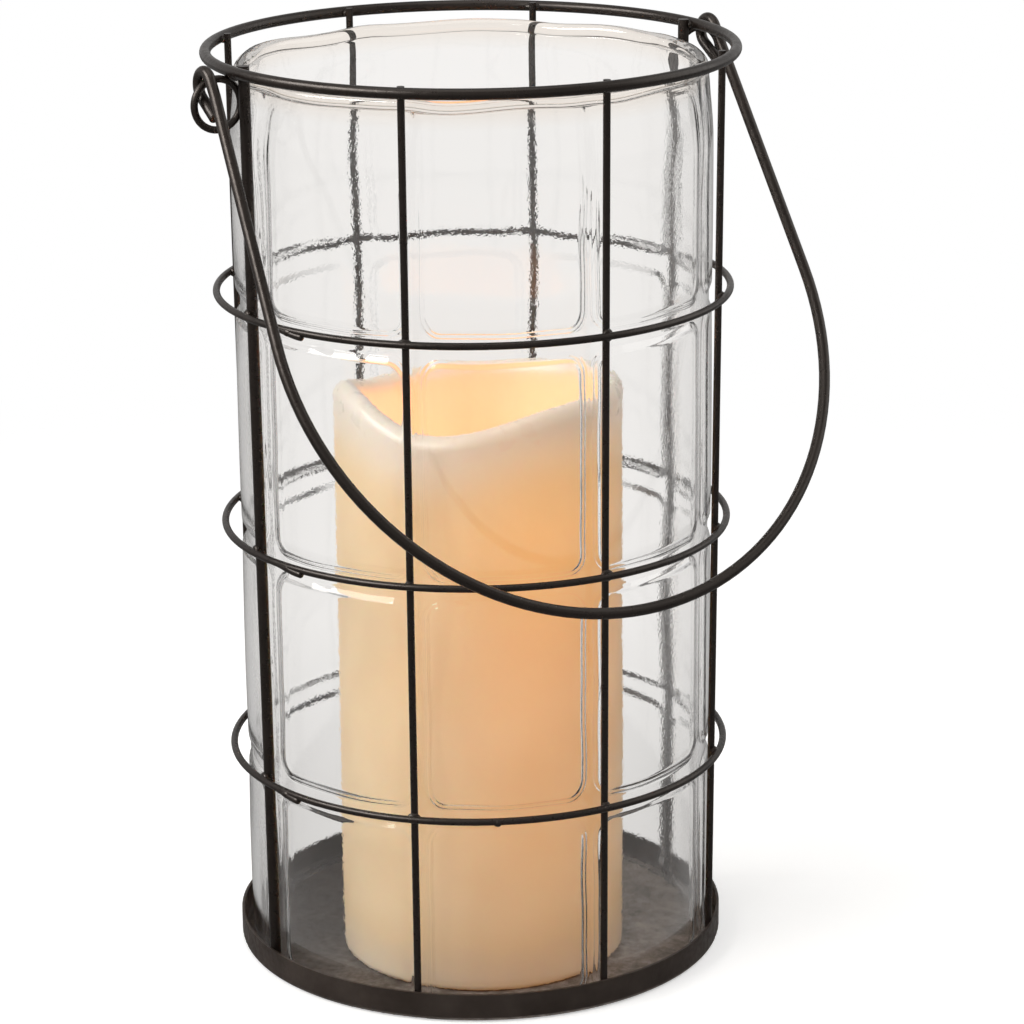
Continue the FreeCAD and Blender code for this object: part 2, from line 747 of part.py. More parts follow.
def cells():
    """Two round cells side by side, the second one upside down."""
    made = []
    for label, side in (("battery_1", 1), ("battery_2", -1)):
        body = new_body(label)
        sketch = new_sketch(body, "XZ_Plane")
        can = dim.cell_length - dim.button_height
        draw_outline(
            sketch,
            (0, 0),
            (dim.cell_radius, 0),
            (dim.cell_radius, can),
            (dim.button_radius, can),
            (dim.button_radius, dim.cell_length),
            (0, dim.cell_length),
        )
        revolve(body, sketch)
        if side == 1:
            at_candle(body, hatch_x, cell_y, cell_under)
        else:
            at_candle(body, hatch_x, -cell_y, cell_top, Vector(1, 0, 0), 180)
        made.append(body)
    return made


def sprung_contacts():
    """Bowed strips between the housing's roof and the upper ends of the cells."""
    made = []
    for label, side in (("positive_contact", 1), ("negative_contact", -1)):
        body = new_body(label)
        sketch = new_sketch(body, "XZ_Plane")
        foot = dim.button_radius
        end = dim.cell_radius - dim.cell_clear
        rest = end - dim.spring_room / 2
        draw_outline(
            sketch,
            (-foot, 0),
            (foot, 0),
            (rest, dim.spring_room - dim.contact_thick),
            (end, dim.spring_room - dim.contact_thick),
            (end, dim.spring_room),
            (rest - dim.contact_thick, dim.spring_room),
            (foot - dim.contact_thick, dim.contact_thick),
            (dim.contact_thick - foot, dim.contact_thick),
            (dim.contact_thick - rest, dim.spring_room),
            (-end, dim.spring_room),
            (-end, dim.spring_room - dim.contact_thick),
            (-rest, dim.spring_room - dim.contact_thick),
        )
        extrude(body, sketch, dim.contact_width, both_ways=True)
        at_candle(body, hatch_x, cell_y * side, cell_top)
        made.append(body)
    return made


# Candle: board, lamp and switch

holder_top = floor_under - dim.holder_clear


def circuit_board():
    board = add(
        "Part::Box", "circuit_board",
        Length=dim.board_length, Width=dim.board_width, Height=dim.board_thick,
    )
    at_candle(board, dim.board_shift - dim.board_length / 2, -(dim.board_width / 2), board_under)
    return board


def lamp_holder():
    body = new_body("lamp_holder")
    sketch = new_sketch(body, "XZ_Plane")
    height = holder_top - board_top
    draw_outline(
        sketch,
        (dim.holder_bore, 0),
        (dim.holder_foot, 0),
        (dim.holder_foot, dim.holder_foot_thick),
        (dim.holder_radius, dim.holder_foot_thick),
        (dim.holder_radius, height),
        (dim.holder_bore, height),
    )
    revolve(body, sketch)
    at_candle(body, z=board_top)
    return body


def lamp():
    body = new_body("lamp")
    sketch = new_sketch(body, "XZ_Plane")
    flange = dim.lamp_radius + dim.lamp_flange
    draw_outline(
        sketch,
        (0, 0),
        (flange, 0),
        (flange, dim.lamp_flange_thick),
        (dim.lamp_radius, dim.lamp_flange_thick),
        (dim.lamp_radius, dim.lamp_height - dim.lamp_radius),
        (0, dim.lamp_height, dim.lamp_radius, "left"),
    )
    revolve(body, sketch)
    at_candle(body, z=holder_top)
    return body


def lead_pair(label, x, pitch_x, pitch_y, low, high):
    """Two straight leads side by side, as one group."""
    rods = []
    for side in (1, -1):
        rod = add("Part::Cylinder", f"{label}_rod", Radius=dim.lead_radius, Height=high - low)
        at_candle(rod, x + pitch_x * side / 2, pitch_y * side / 2, low)
        rods.append(rod)
    group = doc.addObject("Part::Compound", label)
    group.Links = rods
    return group


slider_half_x = dim.knob_width / 2 + dim.slider_margin
slider_half_y = slot_half_y + dim.slider_margin
slider_under = plate_top + dim.switch_play
case_room_y = slider_half_y + dim.switch_travel / 2 + dim.switch_clear
case_room_x = slider_half_x + dim.switch_clear
case_ceiling = slider_under + dim.slider_thick + dim.switch_play
case_top = case_ceiling + dim.case_wall


def switch_slider():
    """Flange in the switch case with the knob that a finger moves, at the near end of its travel."""
    body = new_body("switch_slider")
    flange = new_sketch(body, "XY_Plane", slider_under)
    draw_block(flange, as_size(0), slider_half_x, slider_half_y)
    extrude(body, flange, dim.slider_thick)
    knob = new_sketch(body, "XY_Plane", dim.foot_recess - dim.knob_drop)
    draw_block(knob, as_size(0), dim.knob_width / 2, dim.knob_length / 2)
    extrude(body, knob, slider_under + dim.slider_thick - dim.foot_recess + dim.knob_drop)
    at_candle(body, dim.switch_x, -(dim.switch_travel / 2))
    return body


def switch_case():
    """Cap over the slider's flange, standing on the base plate."""
    body = new_body("switch_case")
    outside = new_sketch(body, "XY_Plane", plate_top)
    draw_block(outside, as_size(0), case_room_x + dim.case_wall, case_room_y + dim.case_wall)
    extrude(body, outside, case_top - plate_top)
    room = new_sketch(body, "XY_Plane", plate_top)
    draw_block(room, as_size(0), case_room_x, case_room_y)
    cut_up(body, room, case_ceiling - plate_top)
    at_candle(body, dim.switch_x)
    return body


def build():
    """All sub-parts, in the order of their assembly."""
    parts = [base_pan()]
    parts += uprights()
    parts += [top_ring()]
    parts += hoops()
    parts += ears()
    parts += [bail_handle(), glass_cylinder(), wax_shell(), battery_housing()]
    parts += cells()
    parts += sprung_contacts()
    parts += [battery_cover(), bridge_contact(), circuit_board(), lamp_holder(), lamp()]
    none = as_size(0)
    parts += [lead_pair("lamp_leads", none, dim.lamp_lead_pitch, none, board_top, holder_top)]
    parts += [switch_case(), switch_slider()]
    switch_pitch = dim.switch_lead_pitch
    parts += [lead_pair("switch_leads", dim.switch_x, none, switch_pitch, case_top, board_under)]
    doc.recompute()
    return parts


def check(parts):
    """Stop if anything in the document failed or a sub-part is not a sound solid."""
    for item in doc.Objects:
        if "Invalid" in item.State or "Error" in item.State:
            raise RuntimeError(f"{item.Label} failed: {item.State}")
    for part in parts:
        if part.Shape.isNull() or not part.Shape.isValid() or not part.Shape.Solids:
            raise RuntimeError(f"{part.Label} has no sound solid")


def write(parts):
    os.makedirs("parts", exist_ok=True)
    for part in parts:
        part.Shape.exportStep(f"parts/{part.Label}.step")


sub_parts = build()
check(sub_parts)
write(sub_parts)
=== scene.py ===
import math

import bmesh
import bpy
import numpy as np
from mathutils import Matrix, Vector


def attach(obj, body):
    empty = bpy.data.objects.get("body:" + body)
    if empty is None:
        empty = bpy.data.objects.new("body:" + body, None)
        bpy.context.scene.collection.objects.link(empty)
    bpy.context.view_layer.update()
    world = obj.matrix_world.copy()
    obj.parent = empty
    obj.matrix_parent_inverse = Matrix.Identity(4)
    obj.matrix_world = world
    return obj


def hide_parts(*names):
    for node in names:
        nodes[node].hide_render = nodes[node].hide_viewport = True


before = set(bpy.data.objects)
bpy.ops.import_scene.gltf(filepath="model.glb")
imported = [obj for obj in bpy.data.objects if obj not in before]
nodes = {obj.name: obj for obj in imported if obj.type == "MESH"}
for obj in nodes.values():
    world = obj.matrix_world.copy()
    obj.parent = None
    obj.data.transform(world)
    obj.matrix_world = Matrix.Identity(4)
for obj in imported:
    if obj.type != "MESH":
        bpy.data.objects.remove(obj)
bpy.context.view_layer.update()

MM = 0.001
UPRIGHTS = 8
HOOP_Z = (65.5, 138.8, 212.1)
PAN_FLOOR = 0.8
CANDLE_X = -4.7
CANDLE_Y = -10.0


# Shader nodes

def add_node(tree, kind, **settings):
    node = tree.nodes.new(kind)
    for name, value in settings.items():
        setattr(node, name, value)
    return node


def feed(tree, socket, value):
    """Sets a socket to a number, or links it to an output."""
    if isinstance(value, (int, float)):
        socket.default_value = value
    else:
        tree.links.new(value, socket)


def math_node(tree, operation, first, second):
    node = add_node(tree, "ShaderNodeMath", operation=operation)
    feed(tree, node.inputs[0], first)
    feed(tree, node.inputs[1], second)
    return node.outputs[0]


def range_node(tree, value, low, high, to_low, to_high, **settings):
    node = add_node(tree, "ShaderNodeMapRange", **settings)
    for name, number in (("From Min", low), ("From Max", high), ("To Min", to_low), ("To Max", to_high)):
        node.inputs[name].default_value = number
    tree.links.new(value, node.inputs["Value"])
    return node.outputs["Result"]


def ramp_node(tree, value, *stops):
    node = add_node(tree, "ShaderNodeValToRGB")
    while len(node.color_ramp.elements) < len(stops):
        node.color_ramp.elements.new(0.5)
    for element, (position, color) in zip(node.color_ramp.elements, stops):
        element.position = position
        element.color = (*color, 1)
    tree.links.new(value, node.inputs[0])
    return node.outputs["Color"]


def noise_node(tree, place, scale, detail, rough=0.55):
    node = add_node(tree, "ShaderNodeTexNoise")
    node.inputs["Scale"].default_value = scale
    node.inputs["Detail"].default_value = detail
    node.inputs["Roughness"].default_value = rough
    tree.links.new(place, node.inputs["Vector"])
    return node.outputs[0]


def bump_node(tree, shader, height, distance):
    node = add_node(tree, "ShaderNodeBump")
    node.inputs["Strength"].default_value = 1
    node.inputs["Distance"].default_value = distance
    tree.links.new(height, node.inputs["Height"])
    tree.links.new(node.outputs["Normal"], shader.inputs["Normal"])


def height_of(tree, place):
    node = add_node(tree, "ShaderNodeSeparateXYZ")
    tree.links.new(place, node.inputs[0])
    return node.outputs["Z"]


def reach_along(tree, place, way):
    """How far a place, or a direction, goes along a fixed way."""
    node = add_node(tree, "ShaderNodeVectorMath", operation="DOT_PRODUCT")
    node.inputs[1].default_value = way
    tree.links.new(place, node.inputs[0])
    return node.outputs["Value"]


def scale_node(tree, color, amount):
    node = add_node(tree, "ShaderNodeVectorMath", operation="SCALE")
    tree.links.new(color, node.inputs[0])
    tree.links.new(amount, node.inputs["Scale"])
    return node.outputs["Vector"]


def blend_node(tree, share, first, second):
    """The first colour where the share is 0, the second where it is 1."""
    node = add_node(tree, "ShaderNodeMix", data_type="RGBA")
    for name, value in (("Factor", share), ("A", first), ("B", second)):
        tree.links.new(value, node.inputs[name])
    return node.outputs["Result"]


def shader_mix(tree, share, first, second):
    node = add_node(tree, "ShaderNodeMixShader")
    for index, value in enumerate((share, first, second)):
        tree.links.new(value, node.inputs[index])
    return node.outputs[0]


def seen_ray(tree, name):
    """1 for that kind of ray, unless it carries light to a matt surface."""
    path = add_node(tree, "ShaderNodeLightPath")
    direct = math_node(tree, "LESS_THAN", path.outputs["Diffuse Depth"], 0.5)
    return math_node(tree, "MULTIPLY", path.outputs[name], direct)


def mirrored_share(tree):
    """1 for a ray that a clear or shiny surface has turned back on its way."""
    path = add_node(tree, "ShaderNodeLightPath")
    return math_node(tree, "GREATER_THAN", path.outputs["Glossy Depth"], 0.5)


# Camera, floor and light

VIEW_HEADING = 30.578
VIEW_PITCH = 16.711
VIEW_ROLL = -0.495
VIEW_SPOT = (-557.3, -965.2, 473.4)
VIEW_LENS = 130.77
VIEW_SENSOR = 36
VIEW_CLIP = (0.05, 30)


def make_camera():
    """Camera at the photograph's angle. Returns the ways to its right and towards it, both level."""
    heading, pitch, roll = (math.radians(a) for a in (VIEW_HEADING, VIEW_PITCH, VIEW_ROLL))
    level = math.cos(pitch)
    ahead = Vector((math.sin(heading) * level, math.cos(heading) * level, -math.sin(pitch)))
    side = Vector((math.cos(heading), -math.sin(heading), 0))
    up = side.cross(ahead)
    tilted_side = side * math.cos(roll) + up * math.sin(roll)
    tilted_up = up * math.cos(roll) - side * math.sin(roll)
    data = bpy.data.cameras.new("photo_camera")
    data.lens = VIEW_LENS
    data.sensor_width = VIEW_SENSOR
    data.clip_start, data.clip_end = VIEW_CLIP
    camera = bpy.data.objects.new("photo_camera", data)
    turn = Matrix((tilted_side, tilted_up, -ahead)).transposed().to_4x4()
    camera.matrix_world = Matrix.Translation(Vector(VIEW_SPOT) * MM) @ turn
    bpy.context.scene.collection.objects.link(camera)
    bpy.context.scene.camera = camera
    return side, -Vector((ahead.x, ahead.y, 0)).normalized()


WORLD_LIGHT = 0.25
ROOM_DARK = 0.6
BACK_WHITE = 0.93
PURE_WHITE = (1, 1, 1)
WARM_WHITE = (1.0, 0.985, 0.97)
SKY_GREY = 0.66
SKY_RISE = (0.15, 0.8)


def background_node(tree, color, strength):
    node = add_node(tree, "ShaderNodeBackground")
    node.inputs["Color"].default_value = (*color, 1)
    feed(tree, node.inputs["Strength"], strength)
    return node.outputs[0]


def make_world():
    """White surroundings, greyer overhead and dimmer in reflections."""
    world = bpy.data.worlds.new("studio")
    bpy.context.scene.world = world
    world.use_nodes = True
    tree = world.node_tree
    tree.nodes.clear()
    spot = add_node(tree, "ShaderNodeTexCoord")
    rise = height_of(tree, spot.outputs["Generated"])
    sky = range_node(tree, rise, *SKY_RISE, BACK_WHITE, SKY_GREY)
    room = range_node(tree, mirrored_share(tree), 0, 1, 1, ROOM_DARK)
    light = background_node(tree, WARM_WHITE, WORLD_LIGHT)
    studio = background_node(tree, WARM_WHITE, math_node(tree, "MULTIPLY", sky, room))
    white = background_node(tree, PURE_WHITE, 1)
    shiny = seen_ray(tree, "Is Glossy Ray")
    through = seen_ray(tree, "Is Transmission Ray")
    shown = shader_mix(tree, math_node(tree, "MAXIMUM", shiny, through), light, studio)
    shown = shader_mix(tree, seen_ray(tree, "Is Camera Ray"), shown, white)
    output = add_node(tree, "ShaderNodeOutputWorld")
    tree.links.new(shown, output.inputs[0])


FLOOR_RADIUS = 3.0
FLOOR_RINGS = 40
FLOOR_SPOKES = 96
FLOOR_DROP = 0.0001
FLOOR_PAINT = (0.86, 0.86, 0.855)
FLOOR_LIFT = 0.5
FLOOR_DARK = 0.28
FLOOR_DIM = 0.75
FLOOR_SHADE = 0.86
SHADE_REACH = (0.12, 0.32)
WHITE_REACH = (0.22, 0.70)


def make_floor():
    """Pale floor that keeps the lantern's shadow and turns into the white background further out. Seen
    through the glass and in reflections it shows as plain emission, with painted shade near the lantern.
    """
    steps = np.linspace(0, 1, FLOOR_RINGS) ** 2 * FLOOR_RADIUS
    angles = np.arange(FLOOR_SPOKES) * 2 * math.pi / FLOOR_SPOKES
    points = np.zeros((len(steps), len(angles), 3))
    points[..., 0] = steps[:, None] * np.cos(angles)
    points[..., 1] = steps[:, None] * np.sin(angles)
    points[..., 2] = -FLOOR_DROP
    floor = grid_object("floor", points, wrap_rows=False)
    material = bpy.data.materials.new("floor")
    material.use_nodes = True
    tree = material.node_tree
    tree.nodes.clear()
    camera_ray = seen_ray(tree, "Is Camera Ray")
    through = seen_ray(tree, "Is Transmission Ray")
    shiny = seen_ray(tree, "Is Glossy Ray")
    mirrored = seen_ray(tree, "Is Reflection Ray")
    returned = math_node(tree, "MULTIPLY", through, mirrored_share(tree))
    spot = add_node(tree, "ShaderNodeTexCoord")
    length = add_node(tree, "ShaderNodeVectorMath", operation="LENGTH")
    tree.links.new(spot.outputs["Object"], length.inputs[0])
    distance = length.outputs["Value"]
    matte = add_node(tree, "ShaderNodeBsdfDiffuse")
    matte.inputs["Color"].default_value = (*FLOOR_PAINT, 1)
    glow = add_node(tree, "ShaderNodeEmission")
    tree.links.new(math_node(tree, "MULTIPLY", camera_ray, FLOOR_LIFT), glow.inputs["Strength"])
    lifted = add_node(tree, "ShaderNodeAddShader")
    tree.links.new(matte.outputs[0], lifted.inputs[0])
    tree.links.new(glow.outputs[0], lifted.inputs[1])
    plain = range_node(tree, camera_ray, 0, 1, BACK_WHITE, 1)
    # Painted shade: the floor seen through the glass or in reflections is dimmer near the lantern
    near = range_node(tree, distance, *SHADE_REACH, FLOOR_SHADE, 1)
    strength = math_node(tree, "MULTIPLY", plain, math_node(tree, "MAXIMUM", camera_ray, near))
    for share, dim in ((mirrored, FLOOR_DARK), (returned, FLOOR_DIM)):
        strength = math_node(tree, "MULTIPLY", strength, range_node(tree, share, 0, 1, 1, dim))
    white = add_node(tree, "ShaderNodeEmission")
    tree.links.new(strength, white.inputs["Strength"])
    tint = ramp_node(tree, camera_ray, (0, WARM_WHITE), (1, PURE_WHITE))
    tree.links.new(tint, white.inputs["Color"])
    away = range_node(tree, distance, *WHITE_REACH, 0, 1, interpolation_type="SMOOTHSTEP")
    share = math_node(tree, "MULTIPLY", away, camera_ray)
    share = math_node(tree, "MAXIMUM", share, math_node(tree, "MAXIMUM", shiny, through))
    output = add_node(tree, "ShaderNodeOutputMaterial")
    mixed = shader_mix(tree, share, lifted.outputs[0], white.outputs[0])
    tree.links.new(mixed, output.inputs["Surface"])
    floor.data.materials.append(material)


LIGHT_COLOR = (1, 0.985, 0.965)
AIM_HEIGHT = 0.14
SHINE_ONLY = "shine_strip"

# Name, bearing to the right of the camera, rise, distance, size and power of each light
LIGHTS = (
    ("key_light", -68, 40, 1.1, (1.0, 0.36), 7.0),
    (SHINE_ONLY, -64, 37, 1.2, (1.0, 0.6), 11.0),
    ("fill_light", -42, 24, 1.3, (0.9, 0.8), 0.9),
    ("back_light", 100, 30, 1.1, (1.0, 1.0), 3.0),
    ("top_light", -20, 84, 1.1, (0.9, 0.9), 3.0),
)


def make_lights(right, near):
    """Soft key on the left with a strip that only shines, a fill, and lights behind and overhead."""
    up = Vector((0, 0, 1))
    aim = up * AIM_HEIGHT
    for name, bearing, rise, distance, size, power in LIGHTS:
        bearing = math.radians(bearing)
        rise = math.radians(rise)
        level = right * math.sin(bearing) + near * math.cos(bearing)
        away = (level * math.cos(rise) + up * math.sin(rise)) * distance
        data = bpy.data.lights.new(name, "AREA")
        data.shape = "RECTANGLE"
        data.size, data.size_y = size
        data.energy = power
        data.color = LIGHT_COLOR
        light = bpy.data.objects.new(name, data)
        light.location = aim + away
        light.rotation_euler = (-away).to_track_quat("-Z", "Y").to_euler()
        light.visible_transmission = False
        light.visible_diffuse = name != SHINE_ONLY
        bpy.context.scene.collection.objects.link(light)


# Meshes

def grid_object(name, points, wrap_rows=True):
    """Smooth mesh through a grid of points, closed round its columns and, if asked, its rows."""
    rows, columns = points.shape[:2]
    row = np.arange(rows if wrap_rows else rows - 1)[:, None]
    column = np.arange(columns)[None, :]
    low = row * columns
    high = (row + 1) % rows * columns
    beside = (column + 1) % columns
    faces = np.stack([low + column, low + beside, high + beside, high + column], -1).reshape(-1, 4)
    mesh = bpy.data.meshes.new(name)
    mesh.from_pydata(points.reshape(-1, 3).tolist(), [], faces.tolist())
    mesh.validate()
    mesh.shade_smooth()
    thing = bpy.data.objects.new(name, mesh)
    bpy.context.scene.collection.objects.link(thing)
    return thing


def point_values(thing, name, values):
    attribute = thing.data.attributes.new(name, "FLOAT", "POINT")
    attribute.data.foreach_set("value", np.asarray(values, np.float32).ravel())


def smooth(low, high, value):
    share = np.clip((value - low) / (high - low), 0, 1)
    return share * share * (3 - 2 * share)


def waves(angle, height, amplitude, length, seed):
    """Gentle unevenness that closes round the axis: a few fixed waves in angle and height."""
    total = np.zeros(np.broadcast(angle, height).shape)
    for index in range(7):
        turn = 1 + (index * 3 + seed * 5) % 11
        rise = math.sin(2.3 * index + 1.7 * seed) * 2 * math.pi / length
        phase = 1.9 * index * index + 0.7 * seed
        total = total + np.sin(turn * angle + rise * height + phase)
    return total * amplitude / 2.6


class Shell:
    """Corner points and faces of one mesh, gathered patch by patch."""

    def __init__(self):
        self.points = []
        self.faces = []

    def add_grid(self, grid, closed=False):
        """Quads over a grid of points, closed round its columns if asked."""
        rows, columns = grid.shape[:2]
        start = sum(len(p) for p in self.points)
        self.points.append(grid.reshape(-1, 3))
        for row in range(rows - 1):
            low = start + row * columns
            high = low + columns
            for column in range(columns if closed else columns - 1):
                beside = (column + 1) % columns
                self.faces.append((low + column, low + beside, high + beside, high + column))

    def make(self, name):
        """Joins the patches where their points meet."""
        mesh = bpy.data.meshes.new(name)
        mesh.from_pydata((np.concatenate(self.points) * MM).tolist(), [], self.faces)
        work = bmesh.new()
        work.from_mesh(mesh)
        bmesh.ops.remove_doubles(work, verts=work.verts, dist=2e-6)
        bmesh.ops.recalc_face_normals(work, faces=work.faces)
        work.to_mesh(mesh)
        work.free()
        mesh.shade_smooth()
        thing = bpy.data.objects.new(name, mesh)
        bpy.context.scene.collection.objects.link(thing)
        return thing


# Blown glass sleeve

PITCH = 2 * math.pi / UPRIGHTS
GLASS_RADIUS = 73.41
GLASS_GROOVE = 71.7
GLASS_WALL = 2.3
GLASS_TOP = 282.3
GLASS_FOOT = 0.83
GLASS_FOOT_RISE = 0.9
GLASS_FOOT_CORNER = ((0.25, 0.3), (0.8, 0.0))
GLASS_WAVE = (0.03, 55)

LIP_OUTSIDE = 71.6
LIP_INSIDE = 67.4
LIP_LOW = 278.2
LIP_TURNS = range(-20, 251, 15)
LIP_SWELL = 1.5
SWELL_LOW = 256
NECK = 1.25
NECK_RISE = (258, 279)

# Slump of the lip: lift and dent at each upright with their spread, and waves between
SLUMP_RISE = (264, 279)
LIP_LIFT = (0.55, 7)
LIP_DROP = 0.2
LIFT_WAVE = 0.5
LIP_DENT = (0.7, 4.5)
DENT_WAVE = 0.25
DENT_SHARE = 0.6
LIP_WAVE_LENGTH = 60

PANE_LOW = 3.4
PANE_TOP = 276.6
PANE_ABOVE_HOOP = (2.1, 0.3, 0.8)
PANE_BELOW_HOOP = (4.6, 6.4, 6.5)
PANE_CORNER = 5.8
PANE_EDGE = 1.25
TOP_SOFT = 1.0
BOTTOM_SOFT = 0.9
EDGE_ROOM = 1.8
PANE_CROWN = 0.3
PANE_ARC = 6
PANE_ACROSS = 10
PANE_ALONG = 14
EDGE_STEPS = (-1.6, -1.15, -0.9, -0.6, -0.3, -0.1, 0.1, 0.3, 0.6, 0.9, 1.15, 1.6)
INNER_STEPS = (4.0, 4.9)
STEP_START = 0.1
STEP_END = 1.15

# Waver of a pane's edge: size, count round the pane, shift from column to column and from row to row
PANE_WAVER = ((0.12, 6, 1, 1), (0.1, 11, 2.3, -1))

TOP_FADE = 0.88
TOP_FADE_RISE = (236, 272)
REAR_FADE = 0.9
REAR_EASE = 0.22
REAR_SIDE = 59.4
REAR_TURN = (0.1, 0.8)
GROOVE_BLEND = (0.25, 0.75)

# Groove behind each upright: its turn from the upright, half its width,
# the softness of its sides and its depth
GROOVES = (
    (-3.6, 4.4, 1.3, 1.0),
    (-0.5, 4.4, 1.3, 1.0),
    (1.2, 5.0, 1.3, 1.0),
    (-0.8, 4.4, 1.3, 1.0),
    (-0.5, 4.4, 1.3, 1.0),
    (1.0, 2.3, 1.0, 0.85),
    (-2.3, 2.0, 0.95, 0.6),
    (-3.0, 4.4, 1.2, 0.65),
)


def outline_frame():
    """Corner centre and direction of each point round a pane, from its lower left corner."""
    corners = ((-1, -1), (1, -1), (1, 1), (-1, 1))
    half = PANE_ARC // 2
    centres = []
    turns = []
    for side in range(4):
        facing = math.pi / 2 * (side - 1)
        first = np.array(corners[side], float)
        last = np.array(corners[(side + 1) % 4], float)
        straight = (PANE_ACROSS, PANE_ALONG)[side % 2]
        for step in range(half):
            centres.append(first)
            turns.append(facing - math.pi / 4 * (1 - step / half))
        for step in range(straight):
            centres.append(first + (last - first) * step / straight)
            turns.append(facing)
        for step in range(half):
            centres.append(last)
            turns.append(facing + math.pi / 4 * step / half)
    turns = np.array(turns)
    ways = np.stack([np.cos(turns), np.sin(turns)], -1)
    return np.array(centres), ways, ways / np.abs(ways).max(1, keepdims=True)


def patch_inside(loop):
    """Grid of points spread evenly inside a closed loop, with its border on the loop."""
    across = PANE_ACROSS + PANE_ARC
    along = PANE_ALONG + PANE_ARC
    low = loop[:across + 1]
    right = loop[across:across + along + 1]
    high = loop[across + along:2 * across + along + 1][::-1]
    left = np.concatenate([loop[2 * across + along:], loop[:1]])[::-1]
    s = np.linspace(0, 1, across + 1)[None, :, None]
    t = np.linspace(0, 1, along + 1)[:, None, None]
    sides = (1 - t) * low[None] + t * high[None] + (1 - s) * left[:, None] + s * right[:, None]
    ends = (1 - t) * ((1 - s) * low[0] + s * low[-1]) + t * ((1 - s) * high[0] + s * high[-1])
    return sides - ends


def pane_rows():
    """Lower and upper edge of each row of panes, and of the cell of wall that holds it."""
    lows = [PANE_LOW] + [z + above for z, above in zip(HOOP_Z, PANE_ABOVE_HOOP)]
    highs = [z - below for z, below in zip(HOOP_Z, PANE_BELOW_HOOP)] + [PANE_TOP]
    middles = [(low + high) / 2 for low, high in zip(lows[1:], highs)]
    bounds = [GLASS_FOOT + GLASS_FOOT_RISE] + middles + [LIP_LOW]
    return list(zip(lows, highs, bounds[:-1], bounds[1:]))


def round_points(angle, radius, height):
    """Points of the glass, with the slump of the lip and of the groove that each upright sits in."""
    angle, radius, height = np.broadcast_arrays(angle, radius, height)
    off = (np.mod(angle + PITCH / 2, PITCH) - PITCH / 2) * GLASS_RADIUS
    slump = smooth(*SLUMP_RISE, height)
    lift = LIP_LIFT[0] * np.exp(-(off / LIP_LIFT[1]) ** 2) - LIP_DROP
    lift = lift + waves(angle, 0, LIFT_WAVE, LIP_WAVE_LENGTH, 3)
    dent = waves(angle, 0, DENT_WAVE, LIP_WAVE_LENGTH, 5)
    dent = dent - LIP_DENT[0] * np.exp(-(off / LIP_DENT[1]) ** 2)
    radius = radius + dent * slump * DENT_SHARE
    return np.stack([radius * np.cos(angle), radius * np.sin(angle), height + lift * slump], -1)


def groove_radius(angle, height, inside):
    """The grooves grow shallow towards the lip and, most on the inside, round the far side."""
    deep = GLASS_RADIUS - PANE_CROWN - GLASS_GROOVE
    place = np.mod(angle / PITCH, UPRIGHTS)
    column = np.floor(place).astype(int) % UPRIGHTS
    depths = np.array([groove[3] for groove in GROOVES])
    beside = depths[(column + 1) % UPRIGHTS] - depths[column]
    shallow = depths[column] + beside * smooth(*GROOVE_BLEND, place - np.floor(place))
    shallow = shallow * (1 - TOP_FADE * smooth(*TOP_FADE_RISE, height))
    far = smooth(*REAR_TURN, np.cos(angle - math.radians(REAR_SIDE)))
    shallow = shallow * (1 - far * (REAR_FADE if inside else REAR_EASE))
    return GLASS_RADIUS - PANE_CROWN - deep * shallow


def neck(height):
    """How far the wall draws in towards the lip."""
    return NECK * smooth(*NECK_RISE, height)


def wall_depth(height, inside):
    """Depth of the inner surface below the outer one: an even wall that swells into the lip."""
    return inside * (GLASS_WALL + LIP_SWELL * smooth(SWELL_LOW, LIP_LOW, height))


def glass_waves(angle, height, inside):
    return waves(angle, height, *GLASS_WAVE, 1 + inside)


def edge_rise(step, slope):
    """Two soft steps from the groove, at -1, up to the pane, at 1; or one even slope."""
    steps = (smooth(-STEP_END, -STEP_START, step) + smooth(STEP_START, STEP_END, step)) / 2
    return steps + (np.clip((step + 1.0) / 2.0, 0, 1) - steps) * slope


class PaneColumn:
    """Middle line, reach and edges of one column of panes, between two grooves."""

    def __init__(self, column):
        turn_left, self.gap_left, self.soft_left, _ = GROOVES[column]
        turn_right, self.gap_right, self.soft_right, _ = GROOVES[(column + 1) % UPRIGHTS]
        left = PITCH * column + math.radians(turn_left)
        right = PITCH * (column + 1) + math.radians(turn_right)
        reach = (right - left) / 2 * GLASS_RADIUS
        self.middle = (left + right) / 2
        self.shift = (self.gap_left - self.gap_right) / 2
        self.half = reach - (self.gap_left + self.gap_right) / 2
        self.room_left = self.gap_left + PANE_CORNER
        self.room_right = self.gap_right + PANE_CORNER

    def seat(self, centres):
        return self.shift + centres[:, 0] * (self.half - PANE_CORNER)

    def border(self, centres, square):
        room = np.where(square[:, 0] > 0, self.room_right, self.room_left)
        return self.seat(centres) + square[:, 0] * room


